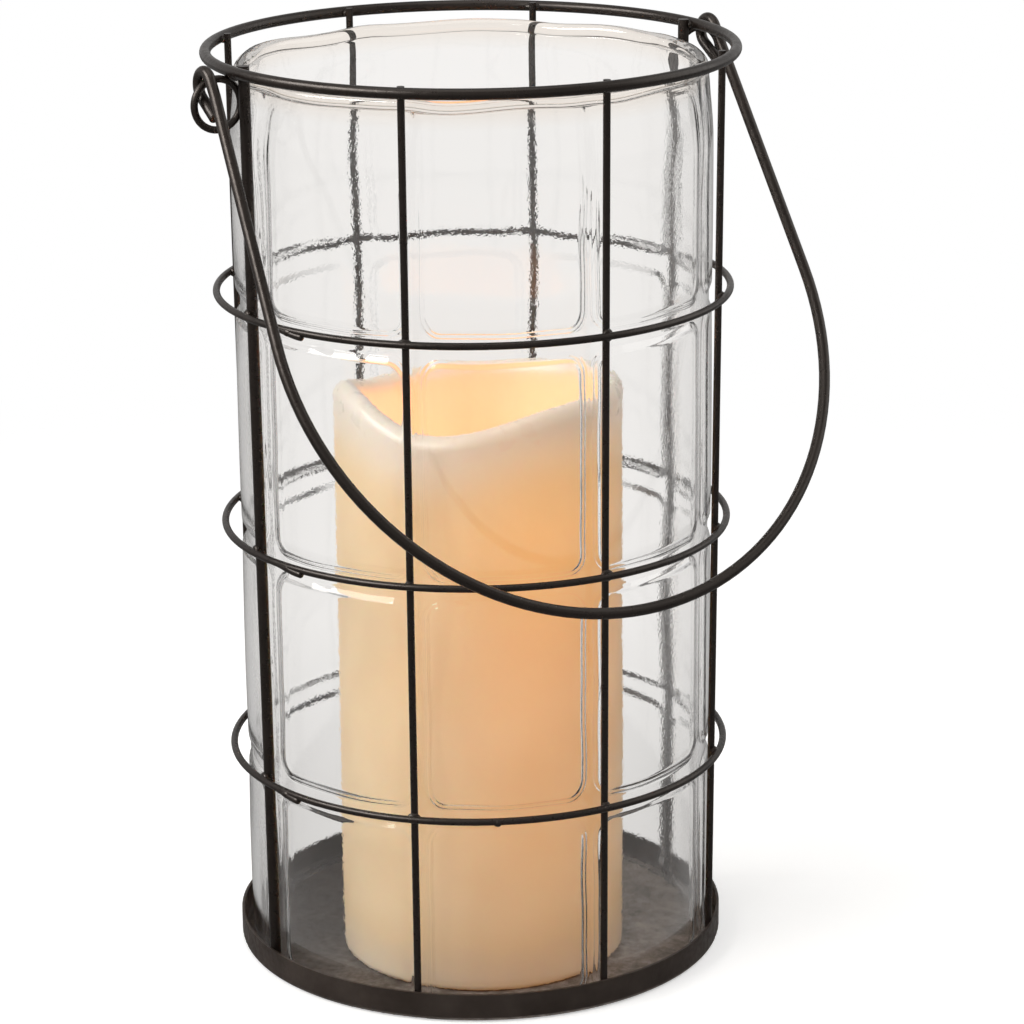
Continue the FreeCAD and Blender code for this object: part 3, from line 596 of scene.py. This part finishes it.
def add_pane(shell, column, low, high, cell_low, cell_high, inside):
    """One side of a pillow pane and its groove: loops that step over its edge, then a crowned middle."""
    pane = PaneColumn(column)
    centres, ways, square = outline_frame()
    tall = (high - low) / 2
    seat = np.stack([pane.seat(centres), centres[:, 1] * (tall - PANE_CORNER)], -1)
    room = np.where(square[:, 1] > 0, cell_high - high, low - cell_low) + PANE_CORNER
    border = np.stack([pane.border(centres, square), seat[:, 1] + square[:, 1] * room], -1)
    gap_side = np.where(ways[:, 0] > 0, pane.gap_right, pane.gap_left)
    soft_side = np.where(ways[:, 0] > 0, pane.soft_right, pane.soft_left)
    soft_end = np.where(ways[:, 1] > 0, TOP_SOFT, BOTTOM_SOFT)
    side = np.minimum(PANE_EDGE * soft_side, gap_side / EDGE_ROOM)
    end = np.minimum(PANE_EDGE * soft_end, (room - PANE_CORNER) / EDGE_ROOM)
    width = side * ways[:, 0] ** 2 + end * ways[:, 1] ** 2
    turn = np.linspace(0, 2 * math.pi, len(seat), endpoint=False)
    waver = sum(
        size * np.sin(count * turn + by_column * column + by_row * low)
        for size, count, by_column, by_row in PANE_WAVER
    )
    loops = [seat + ways * (PANE_CORNER - step * width + waver)[:, None] for step in EDGE_STEPS]
    loops += [seat + ways * (PANE_CORNER - step) for step in INNER_STEPS]
    loops = [border, (border + loops[0]) / 2] + loops
    slope = np.clip(ways[:, 1], 0, 1) ** 2
    rises = [0, 0] + [edge_rise(step, slope) for step in EDGE_STEPS] + [1.0] * len(INNER_STEPS)

    def place(flat, rise):
        across = np.clip(1 - ((flat[..., 0] - pane.shift) / pane.half) ** 2, 0, 1)
        along = np.clip(1 - (flat[..., 1] / tall) ** 2, 0, 1)
        crown = across * along * PANE_CROWN
        angle = pane.middle + flat[..., 0] / GLASS_RADIUS
        height = (low + high) / 2 + flat[..., 1]
        groove = groove_radius(angle, height, inside)
        radius = groove + (GLASS_RADIUS - PANE_CROWN - groove) * rise + crown * rise
        radius = radius - wall_depth(height, inside) + glass_waves(angle, height, inside)
        return round_points(angle, radius - neck(height), height)

    rings = np.stack([place(loop, rise) for loop, rise in zip(loops, rises)])
    shell.add_grid(rings, closed=True)
    shell.add_grid(place(patch_inside(loops[-1]), 1.0))


def make_glass():
    """Sleeve of pillow panes inside and out, closed by a rounded lip and foot."""
    shell = Shell()
    rows = pane_rows()
    centres, _, square = outline_frame()
    count = PANE_ACROSS + PANE_ARC
    angle = []
    for column in range(UPRIGHTS):
        for low, high, cell_low, cell_high in rows:
            for inside in (0, 1):
                add_pane(shell, column, low, high, cell_low, cell_high, inside)
        pane = PaneColumn(column)
        angle.append(pane.middle + pane.border(centres, square)[:count] / GLASS_RADIUS)
    angle = np.concatenate(angle)

    def ring(radius, height):
        return round_points(angle, radius, np.full(angle.shape, float(height)))

    def wall(height, inside):
        radius = groove_radius(angle, height, inside) - neck(height) - wall_depth(height, inside)
        return radius + glass_waves(angle, height, inside)

    half = (LIP_OUTSIDE - LIP_INSIDE) / 2
    middle = LIP_INSIDE + half
    bead = GLASS_TOP - half
    lip = [ring(wall(LIP_LOW, 0), LIP_LOW)]
    for turn in LIP_TURNS:
        slope = math.radians(turn)
        lip.append(ring(middle + half * math.cos(slope), bead + half * math.sin(slope)))
    lip.append(ring(wall(LIP_LOW, 1), LIP_LOW))
    shell.add_grid(np.stack(lip), closed=True)
    start = rows[0][2]
    inside = wall(start, 1)
    outside = wall(start, 0)
    foot = [ring(inside, start)]
    foot += [ring(inside + step, GLASS_FOOT + rise) for step, rise in GLASS_FOOT_CORNER]
    foot += [ring(outside - step, GLASS_FOOT + rise) for step, rise in GLASS_FOOT_CORNER[::-1]]
    foot.append(ring(outside, start))
    shell.add_grid(np.stack(foot), closed=True)
    glass = shell.make("blown_glass_sleeve")
    glass.data.materials.append(glass_material())
    glass.visible_shadow = False
    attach(glass, "glass")
    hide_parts("glass_cylinder")


# Wax of the candle

WAX_POINTS = 240
WAX_RADIUS = 44.5
WAX_INSET = 0.25
WAX_WELL = 36.5
WAX_MEAN = 182.1
WAX_FLOOR = 134.1
WAX_CEILING = 127.1
WAX_HOLE = 5.0
WAX_CAVITY = 39.3
WAX_LIFT = 0.02
WAX_FOOT_RADIUS = 41.0
WAX_FOOT_ROUND = 2.0
WAX_FOOT_TURNS = (30, 60)
WAX_FOOT_EASE = 3
WALL_ROWS = 50
RIM_EASE = (-2, 10)
RIM_SHOULDER = 4.6
RIM_INSET = 0.1
RIM_ROWS = 17
RIM_PALE = (-25, -2)
WELL_ROWS = 26
WELL_EASE = 12
WELL_ROUND = 8.0
WELL_ROUND_ROWS = 8
WELL_FLOOR_ROWS = 8
# Where the painted light of the well starts on the inner side of the rim, and its share there
LIT_FROM = 0.66
LIT_RIM = 0.8
CEILING_RADII = (16, 28, WAX_CAVITY)
CAVITY_HEIGHTS = (90, 50, 20)
MELT_WAVES = ((1, 1.8, -65), (2, 3.2, -27), (3, 1.5, 42), (4, 1.2, -9))
BACK_RISE = (2.0, 60, 45)

# Unevenness: size, length and seed
CREST_WAVE = (0.25, 60, 4)
WALL_WAVE = (0.22, 70, 6)
WELL_WAVE = (0.3, 50, 7)


def wax_crest(angle):
    """Height of the melted rim: slow waves round it and a rise at the back."""
    crest = WAX_MEAN + waves(angle, 0, *CREST_WAVE)
    for count, rise, turn in MELT_WAVES:
        crest = crest + rise * np.cos(count * (angle - math.radians(turn)))
    rise, turn, spread = BACK_RISE
    off = np.degrees(np.abs(np.mod(angle - math.radians(turn) + math.pi, 2 * math.pi) - math.pi))
    return crest + rise * np.exp(-(off / spread) ** 2)


def make_wax():
    """Rows from the foot up the wall, over the rim, down the well and back through the hollow below."""
    angle = np.arange(WAX_POINTS) * 2 * math.pi / WAX_POINTS
    crest = wax_crest(angle)
    loops = []
    well = []
    rim = []

    def add_row(radius, height, inside):
        radius = np.broadcast_to(radius, angle.shape)
        height = np.broadcast_to(height, angle.shape)
        loops.append(np.stack([radius, height], -1))
        well.append(np.full(angle.shape, float(inside)))
        rim.append(smooth(*RIM_PALE, height - crest) * (1 - inside))

    bottom = PAN_FLOOR + WAX_LIFT
    foot = WAX_RADIUS - WAX_FOOT_ROUND
    for radius in (WAX_CAVITY, WAX_FOOT_RADIUS, foot):
        add_row(radius, bottom, 0)
    wall_low = bottom + WAX_FOOT_ROUND
    for turn in WAX_FOOT_TURNS:
        slope = math.radians(turn)
        add_row(foot + WAX_FOOT_ROUND * math.sin(slope), wall_low - WAX_FOOT_ROUND * math.cos(slope), 0)
    rim_low = crest - RIM_SHOULDER
    for share in np.linspace(0, 1, WALL_ROWS):
        height = wall_low + (rim_low - wall_low) * share
        uneven = waves(angle, height, *WALL_WAVE) * math.sin(math.pi * min(1, share * WAX_FOOT_EASE) / 2)
        uneven = uneven * smooth(*RIM_EASE, rim_low - height)
        add_row(WAX_RADIUS - WAX_INSET + uneven, height, 0)
    middle = (WAX_RADIUS + WAX_WELL) / 2 - RIM_INSET
    half = (WAX_RADIUS - WAX_WELL) / 2 - RIM_INSET
    for share in np.linspace(0, 1, RIM_ROWS)[1:-1]:
        slope = math.pi * share
        inside = max(0.0, (share - LIT_FROM) / (1 - LIT_FROM))
        height = rim_low + RIM_SHOULDER * math.sin(slope)
        add_row(middle + half * math.cos(slope), height, LIT_RIM * inside ** 2)
    well_low = WAX_FLOOR + WELL_ROUND
    for share in np.linspace(0, 1, WELL_ROWS):
        height = rim_low + (well_low - rim_low) * share
        uneven = waves(angle, height, *WELL_WAVE) * math.sin(math.pi * share)
        add_row(WAX_WELL + uneven, height, LIT_RIM + (1 - LIT_RIM) * min(1, share * WELL_EASE))
    level = WAX_WELL - WELL_ROUND
    for slope in np.linspace(0, math.pi / 2, WELL_ROUND_ROWS)[1:]:
        add_row(level + WELL_ROUND * math.cos(slope), well_low - WELL_ROUND * math.sin(slope), 1)
    for radius in np.linspace(level, WAX_HOLE, WELL_FLOOR_ROWS)[1:]:
        add_row(radius, WAX_FLOOR, 1)
    add_row(WAX_HOLE, WAX_CEILING, 0)
    for radius in CEILING_RADII:
        add_row(radius, WAX_CEILING, 0)
    for height in CAVITY_HEIGHTS:
        add_row(WAX_CAVITY, height, 0)

    profile = np.stack(loops)
    points = np.empty(profile.shape[:2] + (3,))
    points[..., 0] = CANDLE_X + profile[..., 0] * np.cos(angle)
    points[..., 1] = CANDLE_Y + profile[..., 0] * np.sin(angle)
    points[..., 2] = profile[..., 1]
    wax = grid_object("melted_wax_pillar", points * MM)
    # The well value marks where the painted light of the well takes over from the painted glow through
    # the wall
    point_values(wax, "well", np.stack(well))
    point_values(wax, "rim", np.stack(rim))
    wax.data.materials.append(wax_material())
    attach(wax, "candle")
    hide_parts("wax_shell")


# Welds and lapped ends of the wires

WIRE_LOW = (2.0, 74.81)
WIRE_HIGH = (285.4, 77.17)
THIN_HALF = 1.1
RING_Z = 285.4
RING_RADIUS = 80.0

# Sizes of a bead along the wire's circle, outwards and upwards, and its shift outwards and upwards
CROSS_BEAD = (1.9, 1.15, 1.75)
CROSS_VARY = (0.25, 0.3)
CROSS_SHIFT = (-0.1, 0.0)
RING_BEAD = (2.3, 1.2, 1.25)
RING_VARY = 0.3
RING_SHIFT = (0.0, -0.2)
LAP_BEAD = (2.6, 1.15, 1.3)
LAP_SHIFT = (0.25, -0.5)
DROP_BEAD = (1.5, 1.2, 1.3)
DROP_SHIFT = (0.1, -0.3)
JOINT_BEAD = (2.2, 1.9, 1.8)
JOINT_SHIFT = (-0.25, -0.4)

# Height and bearing of each hoop's lap
LAPS = ((212.1, 198.0), (138.8, 195.7), (65.5, 192.5))
LAP_LENGTH = 12.0
LAP_DROP = 1.15
LAP_OUT = 0.45
LAP_STEPS = 13
LAP_END = (0.5, 0.85, 1.0)
LAP_TIP = 0.6
LAP_LEAST = 0.02
LAP_TURN = 2.5
LAP_BEAD_TURN = -1.5
DROP_ANGLE = 244
JOINT_ANGLE = 180

# Place of each bead of the top ring's joint, along the ring and above it
JOINT_BEADS = ((-3.6, 0.1), (-1.4, 0.35), (0.9, -0.3), (3.2, 0.2))
WIRE_POINTS = 14
BEAD_ROWS = 9


def wire_radius(height):
    share = (height - WIRE_LOW[0]) / (WIRE_HIGH[0] - WIRE_LOW[0])
    return WIRE_LOW[1] + (WIRE_HIGH[1] - WIRE_LOW[1]) * share


def add_bead(shell, radius, degrees, height, sizes, seed):
    """Lump of weld: an uneven ball."""
    turn = np.linspace(0, 2 * math.pi, WIRE_POINTS, endpoint=False)[None, :]
    tilt = np.linspace(-math.pi / 2, math.pi / 2, BEAD_ROWS)[:, None]
    uneven = 0.12 * np.sin(2 * turn + seed) + 0.1 * np.sin(3 * turn - 2 * seed)
    girth = np.cos(tilt) * (1 + uneven * np.cos(tilt))
    along = sizes[0] * np.cos(turn) * girth
    out = sizes[1] * np.sin(turn) * girth
    rise = sizes[2] * np.sin(tilt) * np.ones_like(turn)
    angle = math.radians(degrees)
    x = (radius + out) * math.cos(angle) - along * math.sin(angle)
    y = (radius + out) * math.sin(angle) + along * math.cos(angle)
    shell.add_grid(np.stack([x, y, height + rise], -1), closed=True)


def add_lap(shell, radius, degrees, height):
    """End of a hoop's wire, which leaves the hoop, drops under it and stops, rounded off."""
    share = np.concatenate([np.linspace(0, 1, LAP_STEPS), np.ones(len(LAP_END))])[:, None]
    past = np.concatenate([np.zeros(LAP_STEPS), LAP_END])[:, None]
    turn = np.linspace(0, 2 * math.pi, WIRE_POINTS, endpoint=False)[None, :]
    size = THIN_HALF * np.sqrt(1 - past ** 2) + LAP_LEAST
    bend = smooth(0, 1, share)
    angle = math.radians(degrees) + ((share - 1) * LAP_LENGTH + past * LAP_TIP) / radius
    out = radius + LAP_OUT * bend + size * np.cos(turn)
    rise = height - LAP_DROP * bend + size * np.sin(turn)
    shell.add_grid(np.stack([out * np.cos(angle), out * np.sin(angle), rise], -1), closed=True)


def make_welds():
    """Weld at every crossing of the wires, the laps of the hoops and the joint of the top ring."""
    shell = Shell()
    for upright in range(UPRIGHTS):
        degrees = 360 / UPRIGHTS * upright
        for row, height in enumerate(HOOP_Z):
            seed = 1.7 * upright + 2.9 * row
            along, out, rise = CROSS_BEAD
            along = along + CROSS_VARY[0] * math.sin(seed)
            rise = rise + CROSS_VARY[1] * math.cos(2 * seed)
            radius = wire_radius(height) + THIN_HALF + CROSS_SHIFT[0]
            add_bead(shell, radius, degrees, height + CROSS_SHIFT[1], (along, out, rise), seed)
        seed = 2.1 * upright
        along, out, rise = RING_BEAD
        along = along + RING_VARY * math.sin(seed)
        radius = wire_radius(RING_Z) + THIN_HALF + RING_SHIFT[0]
        add_bead(shell, radius, degrees, RING_Z + RING_SHIFT[1], (along, out, rise), seed)
    for height, degrees in LAPS:
        radius = wire_radius(height) + 2 * THIN_HALF
        add_lap(shell, radius, degrees + LAP_TURN, height)
        radius = radius + LAP_SHIFT[0]
        add_bead(shell, radius, degrees + LAP_BEAD_TURN, height + LAP_SHIFT[1], LAP_BEAD, degrees + 1)
    radius = wire_radius(HOOP_Z[0]) + 2 * THIN_HALF + DROP_SHIFT[0]
    add_bead(shell, radius, DROP_ANGLE, HOOP_Z[0] + DROP_SHIFT[1], DROP_BEAD, 4)
    radius = RING_RADIUS + JOINT_SHIFT[0]
    for step, (along, rise) in enumerate(JOINT_BEADS):
        degrees = JOINT_ANGLE + math.degrees(along / RING_RADIUS)
        add_bead(shell, radius, degrees, RING_Z + rise + JOINT_SHIFT[1], JOINT_BEAD, 1.3 * step)
    beads = shell.make("weld_beads")
    beads.data.materials.append(nodes["top_ring"].data.materials[0])
    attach(beads, "cage")


# Materials

NOISE_SPAN = (0.3, 0.7)


def two_tones(tree, noise, dark, light):
    return ramp_node(tree, noise, (0.35, dark), (0.65, light))


def new_material(name, roughness, metallic=0.0):
    material = bpy.data.materials.new(name)
    material.use_nodes = True
    tree = material.node_tree
    shader = tree.nodes["Principled BSDF"]
    shader.inputs["Roughness"].default_value = roughness
    shader.inputs["Metallic"].default_value = metallic
    spot = add_node(tree, "ShaderNodeTexCoord")
    return material, tree, shader, spot.outputs["Object"]


WIRE_SHINE = 0.4
PAN_SHINE = 0.2
SHINE_TINT = (1.0, 0.9, 0.83)
PAINT_BUMP = 0.00006

# Darkest and lightest colour, least and greatest roughness
WIRE_PAINT = ((0.0085, 0.0058, 0.0046), (0.0145, 0.0102, 0.0082), 0.24, 0.38)
PAN_PAINT = ((0.030, 0.022, 0.018), (0.052, 0.040, 0.034), 0.3, 0.55)


def paint_material(name, dark, light, rough_low, rough_high):
    """Satin black-brown paint on steel."""
    material, tree, shader, place = new_material(name, 0.4)
    shader.inputs["Specular IOR Level"].default_value = WIRE_SHINE
    shader.inputs["Specular Tint"].default_value = (*SHINE_TINT, 1)
    broad = noise_node(tree, place, 60, 4)
    tree.links.new(two_tones(tree, broad, dark, light), shader.inputs["Base Color"])
    fine = noise_node(tree, place, 500, 3)
    rough = range_node(tree, fine, *NOISE_SPAN, rough_low, rough_high)
    tree.links.new(rough, shader.inputs["Roughness"])
    bump_node(tree, shader, fine, PAINT_BUMP)
    return material


# Lighter patch on the pan's floor, partly dust and scuffs, partly a painted reflection: its side, reach,
# least share and two colours
DUST_AND_SHEEN_SIDE = (0.6, -0.94, 0)
DUST_AND_SHEEN_REACH = (-0.05, 0.06)
DUST_AND_SHEEN_LEAST = 0.06
DUST_AND_SHEEN_COLORS = ((0.31, 0.265, 0.235), (0.46, 0.41, 0.375))
SCUFF_SPAN = (0.35, 0.65)
SCUFF_LEAST = 0.35
PAN_FLAT = (0.0009, 0.0016)
# Painted shade: how much darker the pan's floor is
PAN_FLOOR_SHADE = 0.45


def pan_material(name, *looks):
    """The same paint, with painted shade darkening the pan's floor, and lighter there at the right and
    front: partly dust and scuffs, partly a painted reflection of the bright surroundings.
    """
    material = paint_material(name, *looks)
    tree = material.node_tree
    shader = tree.nodes["Principled BSDF"]
    shader.inputs["Specular IOR Level"].default_value = PAN_SHINE
    paint = shader.inputs["Base Color"].links[0].from_socket
    place = add_node(tree, "ShaderNodeTexCoord").outputs["Object"]
    flat = range_node(tree, height_of(tree, place), *PAN_FLAT, 1.0, 0.0)
    # Painted shade: the pan's floor, down inside the lantern, is darker
    shaded_paint = scale_node(tree, paint, range_node(tree, flat, 0, 1, 1, PAN_FLOOR_SHADE))
    # Lighter at the right and front of the pan's floor: partly dust and scuffs, partly a painted
    # reflection of the bright surroundings
    side = range_node(tree, reach_along(tree, place, DUST_AND_SHEEN_SIDE), *DUST_AND_SHEEN_REACH, DUST_AND_SHEEN_LEAST, 1.0)
    scuff = range_node(tree, noise_node(tree, place, 130, 5, 0.75), *SCUFF_SPAN, SCUFF_LEAST, 1.0)
    amount = math_node(tree, "MULTIPLY", math_node(tree, "MULTIPLY", flat, side), scuff)
    dust_and_sheen = two_tones(tree, noise_node(tree, place, 420, 3), *DUST_AND_SHEEN_COLORS)
    tree.links.new(blend_node(tree, amount, shaded_paint, dust_and_sheen), shader.inputs["Base Color"])
    return material


CLEAR_TINT = (0.993, 0.990, 0.985)
# Painted glow: warm tint of the lip, standing in for the candle's light carried in it
PAINTED_LIP_GLOW = (0.945, 0.895, 0.84)
LIP_GLOW_RISE = (0.273, 0.279)
GLASS_IOR = 1.5
PEEL_GRAIN = 1050
PEEL_DEPTH = 0.00001


def glass_material():
    """Clear glass, warmer at the lip, where the warm tint is painted glow of the candle carried in the
    lip. Its fine orange peel breaks up thin things far behind it.
    """
    material, tree, shader, place = new_material("blown_glass", 0.0)
    up = range_node(tree, height_of(tree, place), *LIP_GLOW_RISE, 0, 1)
    tree.links.new(ramp_node(tree, up, (0, CLEAR_TINT), (1, PAINTED_LIP_GLOW)), shader.inputs["Base Color"])
    shader.inputs["Transmission Weight"].default_value = 1
    shader.inputs["IOR"].default_value = GLASS_IOR
    bump_node(tree, shader, noise_node(tree, place, PEEL_GRAIN, 2, 0.5), PEEL_DEPTH)
    return material


# Painted glow on the wall: strongest towards the hot side, a weaker lobe opposite it, least between
HOT_SIDE = -95.6
FRONT_LOBE = 2.5
BACK_LOBE = 2.0
GLOW_FAR = 0.10
GLOW_BACK = 0.55
GLOW_TOP = 0.19
# Painted light in the well: stronger on its lit side
LIT_SIDE = 125
LIT_REACH = (0.5, 0.95)
LIT_GAIN = 1.8
# Greyer band at the wax's foot: the heights where it fades out, its share and how ragged its edge is
FOOT_BAND_LOW = 0.004
FOOT_BAND_HIGH = 0.016
FOOT_BAND_SHARE = 0.75
FOOT_BAND_RAGGED = 0.003
WAX_SHINE = 0.45
WAX_ROUGH = (0.36, 0.52)
WAX_BUMP = 0.00015
RIM_GLOSS = 0.14
INNER_SHARE = 0.3
INNER_SPREAD = (1.0, 0.5, 0.25)
INNER_REACH = 0.005
WAX_COLORS = ((0.3, (0.815, 0.62, 0.375)), (0.7, (0.865, 0.675, 0.425)))
RIM_COLORS = ((0.3, (0.845, 0.77, 0.665)), (0.7, (0.875, 0.81, 0.715)))
WAX_FOOT_COLORS = ((0.3, (0.735, 0.615, 0.475)), (0.7, (0.795, 0.685, 0.545)))

# Painted glow through the wall and painted light in the well, from the foot, 0, to the top of the rim, 1
WALL_GLOW = (
    (0.0, (0.18, 0.075, 0.02)),
    (0.08, (0.20, 0.07, 0.006)),
    (0.22, (0.29, 0.095, 0.004)),
    (0.40, (0.365, 0.112, 0.001)),
    (0.60, (0.455, 0.14, 0.001)),
    (0.78, (0.54, 0.195, 0.010)),
    (0.90, (0.37, 0.15, 0.014)),
    (1.0, (0.05, 0.025, 0.005)),
)
WELL_GLOW = (
    (0.70, (0.38, 0.20, 0.12)),
    (0.86, (0.37, 0.19, 0.12)),
    (1.0, (0.30, 0.155, 0.10)),
)


def compass(degrees):
    turn = math.radians(degrees)
    return math.cos(turn), math.sin(turn), 0


def wax_color(tree, place, height, rim):
    """Mottled ivory, paler at the rim, and greyer at the foot up to a ragged edge."""
    mottle = noise_node(tree, place, 45, 4)
    ivory = ramp_node(tree, mottle, *WAX_COLORS)
    pale = ramp_node(tree, mottle, *RIM_COLORS)
    color = blend_node(tree, rim, ivory, pale)
    rough = noise_node(tree, place, 90, 5, 0.7)
    ragged = range_node(tree, rough, *NOISE_SPAN, -FOOT_BAND_RAGGED, FOOT_BAND_RAGGED)
    level = math_node(tree, "ADD", height, ragged)
    foot_band = range_node(tree, level, FOOT_BAND_LOW, FOOT_BAND_HIGH, FOOT_BAND_SHARE, 0.0)
    return blend_node(tree, foot_band, color, ramp_node(tree, mottle, *WAX_FOOT_COLORS))


def painted_wax_glow(tree, place, height):
    """Painted light from inside: a glow painted on the wall, strongest at the front, and light painted
    in the well, strongest on its lit side.
    """
    share = range_node(tree, height, 0.0, GLOW_TOP, 0.0, 1.0)
    level = add_node(tree, "ShaderNodeVectorMath", operation="MULTIPLY_ADD")
    level.inputs[1].default_value = (1, 1, 0)
    level.inputs[2].default_value = (-CANDLE_X * MM, -CANDLE_Y * MM, 0)
    tree.links.new(place, level.inputs[0])
    bearing = add_node(tree, "ShaderNodeVectorMath", operation="NORMALIZE")
    tree.links.new(level.outputs["Vector"], bearing.inputs[0])
    toward = reach_along(tree, bearing.outputs["Vector"], compass(HOT_SIDE))
    away = math_node(tree, "MULTIPLY", toward, -1.0)
    front = math_node(tree, "POWER", math_node(tree, "MAXIMUM", toward, 0.0), FRONT_LOBE)
    back = math_node(tree, "POWER", math_node(tree, "MAXIMUM", away, 0.0), BACK_LOBE)
    glow = math_node(tree, "ADD", front, math_node(tree, "MULTIPLY", back, GLOW_BACK))
    glow = math_node(tree, "ADD", math_node(tree, "MULTIPLY", glow, 1 - GLOW_FAR), GLOW_FAR)
    # Painted glow on the wall, by height and by bearing round the candle
    wall = scale_node(tree, ramp_node(tree, share, *WALL_GLOW), glow)
    # Painted light in the well, stronger on its lit side
    lit = reach_along(tree, bearing.outputs["Vector"], compass(LIT_SIDE))
    gain = range_node(tree, lit, *LIT_REACH, 1.0, LIT_GAIN)
    hollow = scale_node(tree, ramp_node(tree, share, *WELL_GLOW), gain)
    well = add_node(tree, "ShaderNodeAttribute", attribute_name="well")
    return blend_node(tree, well.outputs["Fac"], wall, hollow)


def wax_material():
    """Ivory wax with painted light from inside: a painted bright well, and a painted orange glow through
    the wall, strongest towards the front.
    """
    material, tree, shader, place = new_material("ivory_wax", 0.42)
    shader.inputs["Specular IOR Level"].default_value = WAX_SHINE
    shader.inputs["Subsurface Weight"].default_value = INNER_SHARE
    shader.inputs["Subsurface Radius"].default_value = INNER_SPREAD
    shader.inputs["Subsurface Scale"].default_value = INNER_REACH
    rim = add_node(tree, "ShaderNodeAttribute", attribute_name="rim").outputs["Fac"]
    height = height_of(tree, place)
    tree.links.new(wax_color(tree, place, height, rim), shader.inputs["Base Color"])
    tree.links.new(painted_wax_glow(tree, place, height), shader.inputs["Emission Color"])
    shader.inputs["Emission Strength"].default_value = 1
    fine = noise_node(tree, place, 160, 4)
    gloss = math_node(tree, "MULTIPLY", rim, RIM_GLOSS)
    rough = range_node(tree, fine, *NOISE_SPAN, *WAX_ROUGH)
    tree.links.new(math_node(tree, "SUBTRACT", rough, gloss), shader.inputs["Roughness"])
    bump_node(tree, shader, fine, WAX_BUMP)
    return material


SPECKLE = 0.12
ROUGH_VARY = 0.15
GRAIN_BUMP = 0.00004


def plain_material(name, color, roughness, metallic=0.0):
    """Finely speckled plastic or metal."""
    material, tree, shader, place = new_material(name, roughness, metallic)
    grain = noise_node(tree, place, 300, 3)
    dark = tuple(c * (1 - SPECKLE) for c in color)
    tree.links.new(two_tones(tree, grain, dark, color), shader.inputs["Base Color"])
    smoother = roughness * (1 - ROUGH_VARY)
    rougher = roughness * (1 + ROUGH_VARY)
    tree.links.new(range_node(tree, grain, *NOISE_SPAN, smoother, rougher), shader.inputs["Roughness"])
    bump_node(tree, shader, grain, GRAIN_BUMP)
    return material


MILK_COLORS = ((0.3, (0.84, 0.70, 0.46)), (0.7, (0.92, 0.84, 0.66)))
LAMP_GLOW = ((0.3, (1.0, 0.62, 0.27)), (0.7, (1.0, 0.78, 0.46)))
LAMP_STRENGTH = 2
MILK_BUMP = 0.00002


def lamp_material():
    """Clouded resin, brightest in the milky patches."""
    material, tree, shader, place = new_material("lamp_resin", 0.15)
    milk = noise_node(tree, place, 700, 3)
    tree.links.new(ramp_node(tree, milk, *MILK_COLORS), shader.inputs["Base Color"])
    tree.links.new(ramp_node(tree, milk, *LAMP_GLOW), shader.inputs["Emission Color"])
    shader.inputs["Emission Strength"].default_value = LAMP_STRENGTH
    bump_node(tree, shader, milk, MILK_BUMP)
    return material


def dress_nodes():
    paint = paint_material("wire_paint", *WIRE_PAINT)
    looks = {
        "base_pan": pan_material("pan_paint", *PAN_PAINT),
        "battery_housing": plain_material("white_plastic", (0.62, 0.60, 0.55), 0.45),
        "battery_cover": plain_material("cover_plastic", (0.60, 0.58, 0.53), 0.45),
        "switch_slider": plain_material("black_plastic", (0.02, 0.02, 0.021), 0.4),
        "switch_case": plain_material("case_plastic", (0.05, 0.05, 0.052), 0.45),
        "battery_1": plain_material("cell_wrap", (0.05, 0.055, 0.06), 0.35),
        "positive_contact": plain_material("contact_steel", (0.62, 0.60, 0.57), 0.3, 1.0),
        "circuit_board": plain_material("board_green", (0.03, 0.11, 0.06), 0.4),
        "lamp_holder": plain_material("holder_plastic", (0.70, 0.68, 0.62), 0.45),
        "lamp_leads": plain_material("lead_tin", (0.66, 0.65, 0.62), 0.3, 1.0),
        "lamp": lamp_material(),
    }
    looks["battery_2"] = looks["battery_1"]
    looks["negative_contact"] = looks["positive_contact"]
    looks["bridge_contact"] = looks["positive_contact"]
    looks["switch_leads"] = looks["lamp_leads"]
    for name, thing in nodes.items():
        thing.data.materials.clear()
        thing.data.materials.append(looks.get(name, paint))


BOUNCES = 24

right, near = make_camera()
make_world()
make_floor()
make_lights(right, near)
dress_nodes()
make_welds()
make_glass()
make_wax()

scene = bpy.context.scene
scene.view_settings.view_transform = "Standard"
scene.cycles.caustics_reflective = False
scene.cycles.max_bounces = BOUNCES
scene.cycles.glossy_bounces = BOUNCES
scene.cycles.transmission_bounces = BOUNCES
